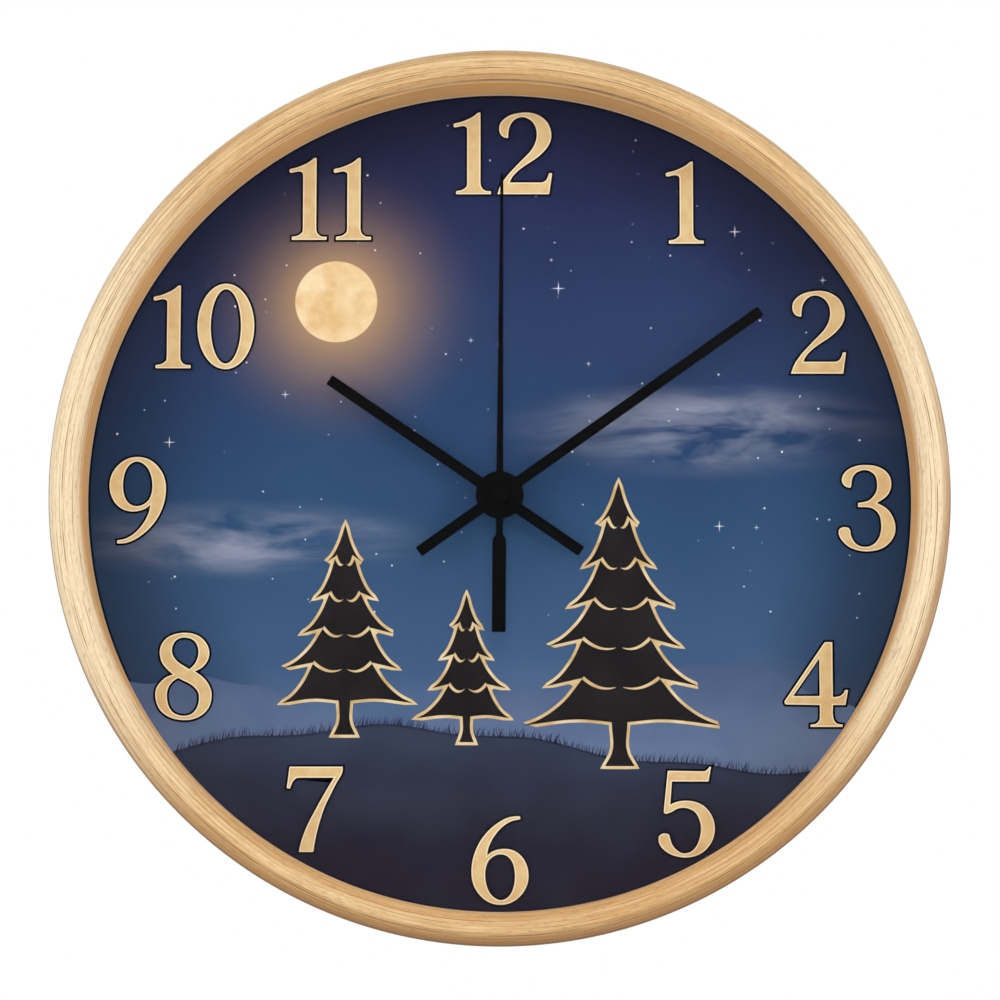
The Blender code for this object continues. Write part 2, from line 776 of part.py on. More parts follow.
def make_bridge():
    """Plate behind the wheels, on the shoulders of the posts, that carries the back pivots."""
    bridge = flat("train_bridge", [room_outline(SEAT_GAP)], bridge_back, bridge_front)
    finish(place(bridge, (0, 0)), WHITE_PLASTIC)
    depth = (bridge_back, bridge_front)
    for number, at in enumerate(post_places()):
        hole = through(POST_RADIUS + SEAT_GAP, *depth)
        cut_at(bridge, turned(f"bridge_post_hole_{number}", hole, SMALL_STEPS), at)
    for name, at in pivot_places():
        hole = through(ARBOR_RADIUS + RUNNING_GAP, *depth)
        cut_at(bridge, turned(f"bridge_{name}_hole", hole, SMALL_STEPS), at)
    hand_hole = through(HAND_ARBOR_RADIUS + RUNNING_GAP, *depth)
    cut_at(bridge, turned("bridge_hand_hole", hand_hole, SMALL_STEPS), (0, 0))
    knob_hole = through(KNOB_ARBOR_RADIUS + SEAT_GAP, *depth)
    cut_at(bridge, turned("bridge_knob_hole", knob_hole, SMALL_STEPS), knob_at)
    return bridge


def make_cover():
    """Back cover of the train's room, with a hole for the knob and two ribs."""
    cover = flat("case_back", [room_outline(SEAT_GAP)], cover_back, cover_front)
    finish(place(cover, (0, 0)), BLACK_PLASTIC)
    rib_front = cover_back + COVER_THICKNESS / 2
    rib_back = cover_back - COVER_RIB_HEIGHT
    for number in range(COVER_RIBS):
        y = train_bottom + COVER_RIB_START + number * COVER_RIB_PITCH
        rib = rectangle(-train_half / 2, y, train_half / 2, y + COVER_RIB_WIDTH)
        join(cover, flat(f"cover_rib_{number}", [rib], rib_back, rib_front))
    hole = through(KNOB_ARBOR_RADIUS + RUNNING_GAP, cover_back, cover_front)
    cut_at(cover, turned("cover_knob_hole", hole, SMALL_STEPS), knob_at)
    return cover


def make_battery():
    """Cell in the bay, with the leaf contacts at its two ends."""
    out = case_back + BATTERY_RADIUS
    y = (bay_bottom + bay_top) / 2
    half = battery_half
    crimp = BATTERY_RADIUS - BATTERY_EDGE
    profile = [
        (0, half),
        (BATTERY_NUB_RADIUS, half),
        (BATTERY_NUB_RADIUS, half - BATTERY_NUB_LENGTH),
        (crimp, half - BATTERY_NUB_LENGTH),
        (BATTERY_RADIUS, half - BATTERY_NUB_LENGTH - BATTERY_EDGE),
        (BATTERY_RADIUS, -half + BATTERY_EDGE),
        (crimp, -half),
        (0, -half),
    ]
    battery = turned("battery", profile, ROUND_STEPS)
    battery.parent = PLAN
    battery.location = (0, y, out)
    battery.rotation_euler = (0, radians(90), 0)
    finish(battery, BATTERY_JACKET)
    wall = bay_half - SEAT_GAP
    low = case_front - BAY_FLOOR - SEAT_GAP - CONTACT_HEIGHT
    high = low + CONTACT_HEIGHT
    for name, side in (("contact_positive", 1), ("contact_negative", -1)):
        section = contact_section(low, high)
        contact = flat(name, [section], -CONTACT_WIDTH / 2, CONTACT_WIDTH / 2)
        contact.data.transform(Matrix(((-side, 0, 0, 0), (0, 0, 1, 0), (0, 1, 0, 0), (0, 0, 0, 1))))
        turn_out(contact.data)
        finish(place(contact, (side * wall, y)), STEEL)


def turn_out(mesh):
    """Make every face of a closed mesh point outwards."""
    shape = bmesh.new()
    shape.from_mesh(mesh)
    bmesh.ops.recalc_face_normals(shape, faces=shape.faces)
    shape.to_mesh(mesh)
    shape.free()


def contact_section(low, high, steps=8):
    """Section of a leaf contact, bowed towards the battery, as (distance from the wall of the bay, out)."""
    back_side = []
    front_side = []
    for i in range(steps + 1):
        out = low + (high - low) * i / steps
        rise = CONTACT_BOW * sin(pi * i / steps) ** 2
        back_side.append((rise, out))
        front_side.append((rise + CONTACT_THICKNESS, out))
    return back_side + front_side[::-1]


def make_stem():
    """Brass bushing through the dial, with the gasket, washer and nut that clamp the movement."""
    profile = [
        (BUSHING_RADIUS, bushing_front),
        (BUSHING_RADIUS, flange_front),
        (BUSHING_FLANGE, flange_front),
        (BUSHING_FLANGE, flange_back),
        (BUSHING_BORE, flange_back),
        (BUSHING_BORE, bushing_front),
    ]
    finish(place(turned("bushing", profile), (0, 0)), BRASS)
    hole = BUSHING_RADIUS + SEAT_GAP
    gasket = turned("gasket", ring_profile(hole, GASKET_RADIUS, gasket_back, gasket_front))
    finish(place(gasket, (0, 0)), RUBBER)
    washer_front = washer_back + WASHER_THICKNESS
    washer = turned("dial_washer", ring_profile(hole, WASHER_RADIUS, washer_back, washer_front))
    finish(place(washer, (0, 0)), BRASS)
    corner_radius = NUT_ACROSS_FLATS / 2 / cos(pi / NUT_SIDES)
    nut = flat("hex_nut", [circle(corner_radius, steps=NUT_SIDES), circle(hole)], nut_back, nut_front)
    finish(place(nut, (0, 0)), BRASS)


def make_motor():
    """Stator, its core and the coil that drive the rotor."""
    arm = STATOR_ARM / 2
    x, y = rotor_at
    right = CORE_X + arm
    meet = acos(arm / STATOR_LOBE)
    top = CORE_TOP + arm
    bottom = CORE_BOTTOM - arm
    outline = [
        (x - arm, y + STATOR_LOBE * sin(meet)),
        (x - arm, top),
        (right, top),
        (right, top - STATOR_ARM),
        (x + arm, top - STATOR_ARM),
        (x + arm, y + STATOR_LOBE * sin(meet)),
    ]
    right_side = [
        (x + STATOR_LOBE * cos(angle), y + STATOR_LOBE * sin(angle))
        for angle in (meet - 2 * meet * i / LOBE_STEPS for i in range(1, LOBE_STEPS))
    ]
    lower = [
        (x + arm, y - STATOR_LOBE * sin(meet)),
        (x + arm, bottom + STATOR_ARM),
        (right, bottom + STATOR_ARM),
        (right, bottom),
        (x - arm, bottom),
        (x - arm, y - STATOR_LOBE * sin(meet)),
    ]
    left_side = [
        (x + STATOR_LOBE * cos(angle), y + STATOR_LOBE * sin(angle))
        for angle in (pi + meet - 2 * meet * i / LOBE_STEPS for i in range(1, LOBE_STEPS))
    ]
    hole = circle(STATOR_HOLE, (x, y), HAND_STEPS)
    stator = flat("stator", [outline + right_side + lower + left_side, hole], stator_back, stator_front)
    finish(place(stator, (0, 0)), SOFT_IRON)
    half = CORE_WIDTH / 2
    bar = rectangle(CORE_X - half, CORE_BOTTOM - arm, CORE_X + half, CORE_TOP + arm)
    core = flat("coil_core", [bar], core_back, core_front)
    finish(place(core, (0, 0)), SOFT_IRON)
    middle_y = (CORE_BOTTOM + CORE_TOP) / 2
    end = COIL_LENGTH / 2
    flange = end - BOBBIN_FLANGE_LENGTH
    bore = hypot(CORE_WIDTH, CORE_THICKNESS) / 2 + SEAT_GAP
    profile = [
        (bobbin_flange_radius, end),
        (bobbin_flange_radius, flange),
        (coil_radius, flange),
        (coil_radius, -flange),
        (bobbin_flange_radius, -flange),
        (bobbin_flange_radius, -end),
        (bore, -end),
        (bore, end),
    ]
    coil = turned("coil", profile, HAND_STEPS)
    coil.parent = PLAN
    coil.location = (CORE_X, middle_y, core_out)
    coil.rotation_euler = (radians(-90), 0, 0)
    finish(coil, COPPER)


def make_board():
    """Circuit board on two posts, with its sealed chip."""
    left = BOARD_X - BOARD_WIDTH / 2
    low = BOARD_Y - BOARD_HEIGHT / 2
    outline = rectangle(left, low, left + BOARD_WIDTH, low + BOARD_HEIGHT)
    board = flat("circuit_board", [outline], board_back, board_front)
    finish(place(board, (0, 0)), BOARD_GREEN)
    chip = rod_profile(CHIP_RADIUS, board_back - CHIP_HEIGHT, board_back + BOARD_THICKNESS / 2)
    join_at(board, turned("chip", chip, SMALL_STEPS), (BOARD_X, BOARD_Y))


def make_train():
    """Wheels from the rotor to the hour tube, each turned so that its teeth mesh at rest."""
    seconds_turn = -radians(SECOND_ANGLE)
    minute_turn = -radians(MINUTE_ANGLE)
    hour_turn = -radians(HOUR_ANGLE)
    step_direction = radians(STEP_DIRECTION)
    rotor_direction = radians(ROTOR_DIRECTION)
    third_direction = radians(THIRD_DIRECTION)
    motion_direction = radians(MOTION_DIRECTION)
    knob_direction = radians(KNOB_DIRECTION)

    step_turn = meshed_turn(SECONDS_TEETH, seconds_turn, step_direction, STEP_PINION)
    rotor_turn = meshed_turn(STEP_TEETH, step_turn, rotor_direction, ROTOR_TEETH)
    rotor = arbor(
        "rotor",
        [tooth_row(ROTOR_TEETH, MODULE, rotor_turn, 6)],
        rotor_at,
        ARBOR_RADIUS,
        arbor_front,
        arbor_back,
    )
    magnet = rod_profile(MAGNET_RADIUS, stator_back, stator_back + MAGNET_LENGTH)
    join(rotor, turned("magnet", magnet, HAND_STEPS))

    arbor(
        "step_wheel",
        [
            tooth_row(STEP_TEETH, MODULE, step_turn, 6),
            tooth_row(STEP_PINION, step_seconds_module, step_turn, 5, reach=-1),
        ],
        step_at,
        ARBOR_RADIUS,
        arbor_front,
        arbor_back,
    )

    third_turn = meshed_turn(SECONDS_PINION, seconds_turn, third_direction, THIRD_TEETH)
    arbor(
        "third_wheel",
        [
            tooth_row(THIRD_TEETH, seconds_third_module, third_turn, 4),
            tooth_row(THIRD_PINION, MODULE, third_turn, 3, reach=-1),
        ],
        third_at,
        ARBOR_RADIUS,
        arbor_front,
        arbor_back,
    )

    arbor(
        "seconds_wheel",
        [
            tooth_row(SECONDS_TEETH, step_seconds_module, seconds_turn, 5),
            tooth_row(SECONDS_PINION, seconds_third_module, seconds_turn, 4, reach=-1),
        ],
        (0, 0),
        HAND_ARBOR_RADIUS,
        second_hand_back + HAND_THICKNESS - SEAT_GAP,
        arbor_back,
    )

    centre_turn = meshed_turn(THIRD_PINION, third_turn, third_direction + pi, CENTRE_TEETH)
    centre = arbor(
        "centre_wheel",
        [
            tooth_row(CENTRE_TEETH, MODULE, centre_turn, 3),
            tooth_row(MINUTE_PINION, MODULE, minute_turn, 2, reach=-1),
        ],
        (0, 0),
        MINUTE_TUBE_RADIUS,
        minute_hand_back + HAND_THICKNESS,
        layer_back(3) + WHEEL_THICKNESS / 2,
    )
    bore = through(MINUTE_TUBE_BORE, layer_back(3), minute_hand_back + HAND_THICKNESS)
    cut(centre, turned("centre_bore", bore, SMALL_STEPS))

    motion_turn = meshed_turn(MINUTE_PINION, minute_turn, motion_direction, MOTION_TEETH)
    motion_pinion_turn = meshed_turn(HOUR_TEETH, hour_turn, motion_direction, MOTION_PINION)
    motion = arbor(
        "motion_wheel",
        [
            tooth_row(MOTION_TEETH, MODULE, motion_turn, 2),
            tooth_row(MOTION_PINION, motion_hour_module, motion_pinion_turn, 1, reach=-1),
        ],
        motion_at,
        None,
    )
    bore = through(SMALL_POST_RADIUS + RUNNING_GAP, layer_back(2), layer_back(1) + WHEEL_THICKNESS)
    cut(motion, turned("motion_bore", bore, SMALL_STEPS))

    hour = arbor(
        "hour_wheel",
        [tooth_row(HOUR_TEETH, motion_hour_module, hour_turn, 1)],
        (0, 0),
        HOUR_TUBE_RADIUS,
        hour_hand_back + HAND_THICKNESS,
        layer_back(1) + WHEEL_THICKNESS / 2,
    )
    bore = through(HOUR_TUBE_BORE, layer_back(1), hour_hand_back + HAND_THICKNESS)
    cut(hour, turned("hour_bore", bore, SMALL_STEPS))

    knob_turn = meshed_turn(MOTION_TEETH, motion_turn, knob_direction, KNOB_TEETH)
    knob = arbor(
        "setting_knob",
        [tooth_row(KNOB_TEETH, MODULE, knob_turn, 2)],
        knob_at,
        KNOB_ARBOR_RADIUS,
        arbor_front,
        cover_back - SEAT_GAP - KNOB_THICKNESS / 2,
    )
    head_outline = notched_circle(KNOB_RADIUS, KNOB_NOTCHES, KNOB_NOTCH_RADIUS)
    head_front = cover_back - COVER_RIB_HEIGHT - SEAT_GAP
    join(knob, flat("knob_head", [head_outline], head_front - KNOB_THICKNESS, head_front))
    knob.data.materials.clear()
    knob.data.materials.append(BLACK_PLASTIC)


def tooth_row(teeth, module, turn, layer, reach=0):
    """Teeth in one layer. With reach -1 they run back into the wheel behind them."""
    back = layer_back(layer)
    front = back + WHEEL_THICKNESS
    if reach < 0:
        back -= PINION_REACH
    return (teeth, module, turn, back, front)


def notched_circle(radius, notches, notch):
    """Circle with shallow flutes for the fingers."""
    points = []
    for index in range(notches):
        centre = 2 * pi * index / notches
        half = pi / notches
        for share, length in ((-2, radius), (-1, radius), (0, radius - notch), (1, radius)):
            angle = centre + share * half / 2
            points.append((length * cos(angle), length * sin(angle)))
    return points


def blade_outline(length, tail, width, hub, steps=10):
    """Straight bar of one width through a round hub, pointing to twelve."""
    half = width / 2
    meet = asin(half / hub)
    points = [(half, length), (-half, length)]
    for i in range(steps + 1):
        angle = pi / 2 + meet + (pi - 2 * meet) * i / steps
        points.append((hub * cos(angle), hub * sin(angle)))
    points += [(-half, -tail), (half, -tail)]
    for i in range(steps + 1):
        angle = -pi / 2 + meet + (pi - 2 * meet) * i / steps
        points.append((hub * cos(angle), hub * sin(angle)))
    return points


def second_outline(steps=6):
    """Tapered needle with a round boss and a shouldered counterweight, pointing to twelve."""
    half = SECOND_HAND_ROOT / 2
    tip = SECOND_HAND_TIP / 2
    weight = WEIGHT_WIDTH / 2
    meet = asin(half / CAP_RADIUS)
    points = [(tip, SECOND_HAND_LENGTH), (-tip, SECOND_HAND_LENGTH)]
    for i in range(steps + 1):
        angle = pi / 2 + meet + (pi - 2 * meet) * i / steps
        points.append((CAP_RADIUS * cos(angle), CAP_RADIUS * sin(angle)))
    for side in (-1, 1):
        corners = [
            (side * half, -WEIGHT_START),
            (side * weight, -WEIGHT_START - WEIGHT_SHOULDER),
            (side * weight, -SECOND_TAIL),
        ]
        points += corners if side < 0 else corners[::-1]
    for i in range(steps + 1):
        angle = -pi / 2 + meet + (pi - 2 * meet) * i / steps
        points.append((CAP_RADIUS * cos(angle), CAP_RADIUS * sin(angle)))
    return points


def make_hands():
    """Hour, minute and seconds hands, each on its tube or arbor."""
    hour_hole = HOUR_TUBE_RADIUS + RUNNING_GAP
    outline = blade_outline(HOUR_HAND_LENGTH, HAND_TAIL, HAND_WIDTH, HUB_RADIUS - HUB_RIM)
    outlines = [outline, circle(hour_hole, steps=HAND_STEPS)]
    blade = flat("hour_hand", outlines, hour_hand_back, hour_hand_back + HAND_THICKNESS)
    finish(place(blade, (0, 0), -radians(HOUR_ANGLE)), HAND_PAINT)
    depth = (hour_hand_back - AIR_GAP, hour_hand_back + HAND_THICKNESS / 2)
    collet = ring_profile(hour_hole, hour_hole + COLLET_WALL, *depth)
    join(blade, turned("hour_collet", collet, HAND_STEPS))

    minute_hole = MINUTE_TUBE_RADIUS + RUNNING_GAP
    outline = blade_outline(MINUTE_HAND_LENGTH, HAND_TAIL, HAND_WIDTH, HUB_RADIUS)
    outlines = [outline, circle(minute_hole, steps=HAND_STEPS)]
    blade = flat("minute_hand", outlines, minute_hand_back, minute_hand_back + HAND_THICKNESS)
    finish(place(blade, (0, 0), -radians(MINUTE_ANGLE)), HAND_PAINT)
    depth = (minute_hand_back - AIR_GAP, minute_hand_back + HAND_THICKNESS / 2)
    collet = ring_profile(minute_hole, minute_hole + COLLET_WALL, *depth)
    join(blade, turned("minute_collet", collet, HAND_STEPS))

    needle = flat("second_hand", [second_outline()], second_hand_back, second_hand_back + HAND_THICKNESS)
    finish(place(needle, (0, 0), -radians(SECOND_ANGLE)), HAND_PAINT)
    top = second_hand_back + CAP_HEIGHT
    cap = [
        (0, top),
        (CAP_TOP_RADIUS, top),
        (CAP_RADIUS - CAP_EDGE, top - CAP_EDGE),
        (CAP_RADIUS - CAP_EDGE, second_hand_back - AIR_GAP),
        (0, second_hand_back - AIR_GAP),
    ]
    join(needle, turned("second_cap", cap, HAND_STEPS))
    socket = rod_profile(
        HAND_ARBOR_RADIUS + RUNNING_GAP, second_hand_back - CUT_OVERRUN, second_hand_back + HAND_THICKNESS
    )
    cut(needle, turned("second_socket", socket, SMALL_STEPS))


make_frame()
make_lens()
make_liner()
make_dial()
make_clips()
make_hanger()
make_case()
make_bridge()
make_cover()
make_battery()
make_stem()
make_motor()
make_board()
make_train()
make_hands()
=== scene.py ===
"""Looks of a wooden wall clock with a printed night dial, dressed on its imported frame."""

from math import asin, atan2, cos, exp, hypot, pi, radians, sin, sqrt

import bmesh
import bpy
from bpy.props import FloatProperty, FloatVectorProperty, IntProperty, PointerProperty
from mathutils import Matrix, Vector


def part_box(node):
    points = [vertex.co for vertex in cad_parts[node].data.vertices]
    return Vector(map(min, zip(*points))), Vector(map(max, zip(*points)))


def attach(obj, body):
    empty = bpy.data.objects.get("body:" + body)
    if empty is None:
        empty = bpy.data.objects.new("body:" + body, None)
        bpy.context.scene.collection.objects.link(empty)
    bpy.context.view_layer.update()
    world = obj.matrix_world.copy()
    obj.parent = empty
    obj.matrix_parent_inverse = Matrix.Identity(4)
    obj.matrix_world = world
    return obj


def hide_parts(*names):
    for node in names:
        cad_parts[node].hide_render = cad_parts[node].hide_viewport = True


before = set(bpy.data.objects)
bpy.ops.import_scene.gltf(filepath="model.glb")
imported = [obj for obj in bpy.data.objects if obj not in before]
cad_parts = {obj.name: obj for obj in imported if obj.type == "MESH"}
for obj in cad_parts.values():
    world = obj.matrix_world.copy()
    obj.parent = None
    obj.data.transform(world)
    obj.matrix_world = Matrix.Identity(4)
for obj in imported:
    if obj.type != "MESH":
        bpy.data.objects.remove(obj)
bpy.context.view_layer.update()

bl_info = {
    "name": "Wooden wall clock",
    "version": (1, 0, 0),
    "blender": (4, 5, 0),
    "location": "View3D > Sidebar > Clock",
    "description": "Builds the frame, printed dial, hands, fixings and movement of a round wooden clock",
    "category": "Add Mesh",
}

FRAME_LOW, FRAME_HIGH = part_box("frame_ring")
MIDDLE = (FRAME_LOW.z + FRAME_HIGH.z) / 2
OUTER_RADIUS = (FRAME_HIGH.x - FRAME_LOW.x) / 2
FRAME_FRONT = -FRAME_LOW.y
LENS_LOW, LENS_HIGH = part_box("lens")
LINER_LOW, LINER_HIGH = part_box("liner_ring")
INNER_RADIUS = LENS_HIGH.x
DIAL_FRONT = -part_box("dial_board")[0].y
HUB_LOW, HUB_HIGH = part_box("hex_nut")
SHAFT = (HUB_LOW.z + HUB_HIGH.z) / 2


def linear(code):
    """Linear colour with alpha from an sRGB hex value."""
    parts = [int(code[i : i + 2], 16) / 255 for i in (0, 2, 4)]
    return tuple(p / 12.92 if p <= 0.04045 else ((p + 0.055) / 1.055) ** 2.4 for p in parts) + (1.0,)


def colour(label, description, code):
    """Colour property with an sRGB hex value as its default."""
    return FloatVectorProperty(
        name=label, description=description, default=linear(code), size=4, subtype="COLOR", min=0, max=1
    )


def length(label, description, default):
    """Length property in metres."""
    return FloatProperty(name=label, description=description, default=default, unit="LENGTH", min=0)


def offset(label, description, default):
    """Distance property in metres that may be negative."""
    return FloatProperty(name=label, description=description, default=default, unit="LENGTH")


def rotation(label, description, degrees):
    """Angle property with its default in degrees."""
    return FloatProperty(name=label, description=description, default=radians(degrees), unit="ROTATION")


def wattage(label, description, default):
    """Power property of a light, in watts."""
    return FloatProperty(name=label, description=description, default=default, unit="POWER")


class WoodSettings(bpy.types.PropertyGroup):
    """Sizes and colours of the wooden rings."""

    pale: colour("Pale veneer", "Lighter veneers of the frame", "E6C99B")
    deep: colour("Deep veneer", "Darker veneers of the frame", "CC9F69")
    # Painted sheen: a paler colour for the two sides of the ring, in place of the gloss of the side lights.
    painted_side_sheen: colour("Painted side sheen", "Palest wood on the two sides of the frame", "FAEBCB")
    # Painted light: a pale colour that brightens the shaded edge of the opening.
    painted_lip_light: colour("Painted lip light", "Pale edge of the opening", "FBD3A2")
    glue: colour("Glue line", "Thin dark line between two veneers", "8F653A")
    mark: colour("Brown mark", "Brown figure in the outer veneer", "84562F")
    # Partly painted shade: this brown also darkens the down-facing outer nose along the lower half.
    brown_veneer_and_shade: colour("Brown veneer and shade", "Browner wood of the outer veneers along the lower half", "A8743E")
    # Partly painted shade: this colour also darkens the outermost edge of the nose.
    outer: colour("Outer veneer and edge shade", "Darker veneer of the outer wall", "84592E")
    liner: colour("Liner", "Inner wall between the lens and the dial", "FFC987")
    liner_deep: colour("Liner streak", "Darker streaks of the inner wall", "F6BF80")
    liner_edge: colour("Liner edge", "Pale edge of the inner wall beside the dial", "F6E4CB")
    veneer: length("Veneer", "Thickness of one veneer", 0.001178)
    lip_radius: length("Lip radius", "Radius of the opening in the frame", 0.1175)
    nose_depth: length("Nose depth", "How far the rounded nose is set back at its widest", 0.0095)
    lip_round: length("Lip round", "Depth of the round towards the opening", 0.003)
    chamfer: length("Back chamfer", "Chamfer of the back outer edge", 0.0012)
    wall_inset: length("Rebate wall", "Wall of the frame beside the rebate", 0.0072)
    joint: length("Middle joint", "Mean distance of the widest glue line from the outer wall", 0.0048)
    drift: length("Drift", "How far the rings of veneer stand below the turned ring", 0.0019)
    wall_middle: length("Wall middle", "Middle of the straight walls, out from the back", 0.0187)
    wall_half: length("Wall half", "Half the depth of the straight walls", 0.0180)
    groove: length("Groove", "Depth of the fine lines left by turning", 0.00003)


class DialSettings(bpy.types.PropertyGroup):
    """Colours and sizes of the printed dial."""

    sky_top: colour("Sky, top", "Night sky at the top of the dial", "22264E")
    sky_high: colour("Sky, high", "Night sky above the middle", "293963")
    sky_middle: colour("Sky, middle", "Sky at the middle", "2F4E73")
    sky_low: colour("Sky, low", "Sky above the horizon", "405C82")
    haze: colour("Haze", "Haze along the horizon", "627598")
    cloud: colour("Cloud", "Thin lit cloud", "9299B0")
    ridge: colour("Far ridge", "Distant ridge", "4A5C80")
    ground: colour("Ground", "Near ground", "363E54")
    ground_deep: colour("Ground, low", "Near ground at the bottom of the dial", "211F30")
    grass: colour("Grass", "Grass along the hill", "2C3043")
    moon: colour("Moon", "Disc of the moon", "F8E2B8")
    moon_shade: colour("Moon, shaded", "Soft patches on the moon", "E6BE86")
    glow: colour("Glow", "Warm light round the moon", "C9A071")
    star: colour("Star", "Points of light", "D9E0F0")
    tree: colour("Tree", "Dark trees", "1D1B1D")
    rim: colour("Rim light", "Pale line round the trees", "EAD3A8")
    numeral: colour("Numeral", "Gold of the numerals", "E6CC97")
    numeral_edge: colour("Numeral edge", "Pale edge of the numerals", "F5E8CA")
    numeral_line: colour("Numeral outline", "Dark outline of the numerals", "0A090E")
    moon_x: offset("Moon across", "Moon, right of the middle", -0.047)
    moon_z: offset("Moon up", "Moon, above the middle", 0.057)
    moon_radius: length("Moon radius", "Radius of the moon", 0.0118)
    sparkle: length("Sparkle", "Reach of a four-pointed star", 0.0024)
    star_radius: length("Star radius", "Radius of a small star", 0.00035)
    stars: IntProperty(name="Stars", description="Small stars in the sky", default=120, min=0)
    sparkles: IntProperty(name="Sparkles", description="Four-pointed stars in the sky", default=11, min=0)
    blades: IntProperty(name="Blades", description="Blades of grass along the hill", default=620, min=0)
    blade_height: length("Blade height", "Height of a blade of grass", 0.0034)
    layer: length("Layer", "Thickness of one printed layer", 0.00001)


class HandSettings(bpy.types.PropertyGroup):
    """Sizes and colours of the hands."""

    paint: colour("Paint", "Satin black of the hands", "050506")
    width: length("Blade width", "Width of the hour and minute hands", 0.0031)
    hour_length: length("Hour hand", "Length of the hour hand", 0.059)
    minute_length: length("Minute hand", "Length of the minute hand", 0.0914)
    second_length: length("Seconds hand", "Length of the seconds hand", 0.0926)
    tail: length("Tail", "Tail of the hour and minute hands", 0.0281)
    second_tail: length("Seconds tail", "Tail of the seconds hand", 0.0392)
    hub_radius: length("Hub", "Radius of the minute hand's hub", 0.0068)
    hub_rim: length("Hub rim", "How far the hour hand's hub is smaller", 0.0009)
    thickness: length("Thickness", "Thickness of a hand", 0.0005)
    easing: length("Edge", "Rounding of the pressed edges", 0.0001)
    hour_angle: rotation("Hour", "Hour hand, clockwise from the top", 304.5)
    minute_angle: rotation("Minute", "Minute hand, clockwise from the top", 54.6)
    second_angle: rotation("Second", "Seconds hand, clockwise from the top", 0.4)


class FittingSettings(bpy.types.PropertyGroup):
    """Colours and sizes of the fittings and the movement."""

    zinc: colour("Zinc plate", "Bright zinc plating", "B9BDC2")
    brass: colour("Brass", "Turned brass", "C9A35B")
    abs_black: colour("Case plastic", "Moulded ABS of the case", "1B1B1D")
    acetal: colour("Acetal", "Moulded wheels", "E6E3D8")
    rubber: colour("Rubber", "Rubber gasket", "19191A")
    jacket: colour("Battery jacket", "Printed film on the battery", "2F4B6E")
    jacket_band: colour("Battery band", "Band at the positive end", "C4A463")
    board: colour("Circuit board", "Solder mask", "2E6B3E")
    copper: colour("Coil", "Enamelled copper wire", "B0683A")
    iron: colour("Iron", "Stamped stator iron", "8D8F92")
    fibre: colour("Dial board", "Edge and back of the dial board", "B59A73")
    easing: length("Edge", "Rounding of moulded and bent edges", 0.00025)
    screw_radius: length("Screw", "Radius of a screw thread", 0.0012)
    screw_head: length("Screw head", "Radius of a screw head", 0.0025)
    screw_rise: length("Head height", "Height of a screw head", 0.0014)
    washer_radius: length("Washer", "Radius of the dial washer", 0.0059)
    washer_hole: length("Washer hole", "Radius of the hole in the dial washer", 0.0043)
    washer_edge: length("Washer edge", "Bevel of the dial washer", 0.0001)


class StageSettings(bpy.types.PropertyGroup):
    """Floor, lights and camera."""

    floor: colour("Floor", "Pale floor", "EDEBE7")
    floor_drop: length("Floor drop", "Distance of the floor below the clock", 0.16)
    floor_reach: length("Floor reach", "Half the side of the floor", 1.6)
    distance: length("Camera distance", "From the camera to the clock", 1.0)
    rise: rotation("Camera rise", "Angle of the camera above the level of its target", -7.0)
    field: length("Field", "Width of the picture at the clock", 0.2818)
    side_power: wattage("Side light", "Power of a side light", 6.0)
    front_power: wattage("Front light", "Power of the front light", 5.9)
    low_power: wattage("Low light", "Power of the low light", 2.9)
    back_power: wattage("Back light", "Power of the back light", 10)
    sky: FloatProperty(name="Room light", description="Strength of the light from all round", default=0.42)


class ClockSettings(bpy.types.PropertyGroup):
    """All settings of the clock."""

    wood: PointerProperty(type=WoodSettings)
    dial: PointerProperty(type=DialSettings)
    hands: PointerProperty(type=HandSettings)
    fittings: PointerProperty(type=FittingSettings)
    stage: PointerProperty(type=StageSettings)


def add(tree, kind, inputs=None, stops=None, **settings):
    """Add a node with its settings, its linked or plain inputs and the colour stops of a ramp."""
    node = tree.nodes.new(kind)
    for key, value in settings.items():
        setattr(node, key, value)
    for key, value in (inputs or {}).items():
        if isinstance(value, bpy.types.Node):
            value = value.outputs[0]
        if isinstance(value, list):
            for item in value:
                tree.links.new(item.outputs[0], node.inputs[key])
        elif isinstance(value, bpy.types.NodeSocket):
            tree.links.new(value, node.inputs[key])
        else:
            node.inputs[key].default_value = value
    if stops:
        elements = node.color_ramp.elements
        while len(elements) < len(stops):
            elements.new(1.0)
        for element, (position, shade) in zip(elements, stops):
            element.position = position
            element.color = shade
    return node


def new_material(name):
    """Material with an empty node tree."""
    material = bpy.data.materials.new(name)
    material.use_nodes = True
    material.node_tree.nodes.clear()
    return material, material.node_tree


def finish_mesh(mesh, angle=35):
    """Merge doubles, turn faces outwards and shade smooth between sharp edges."""
    build = bmesh.new()
    build.from_mesh(mesh)
    bmesh.ops.remove_doubles(build, verts=build.verts, dist=1e-7)
    bmesh.ops.recalc_face_normals(build, faces=build.faces)
    build.to_mesh(mesh)
    build.free()
    mesh.polygons.foreach_set("use_smooth", [True] * len(mesh.polygons))
    mesh.set_sharp_from_angle(angle=radians(angle))
    mesh.update()
    return mesh


def make_piece(name, mesh, body, slot, material, *nodes):
    """Link a finished mesh as a piece that rides a body and stands for CAD nodes."""
    piece = bpy.data.objects.new(name, mesh)
    bpy.context.scene.collection.objects.link(piece)
    mesh.materials.clear()
    mesh.materials.append(material)
    if nodes:
        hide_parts(*nodes)
    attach(piece, body)
    return piece


def dress(material, *nodes):
    """Give CAD nodes a material in every slot."""
    for node in nodes:
        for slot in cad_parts[node].material_slots:
            slot.material = material


def print_piece(name, mesh, material):
    """A printed piece of the dial."""
    make_piece(name, mesh, "housing", "printed_dial", material)


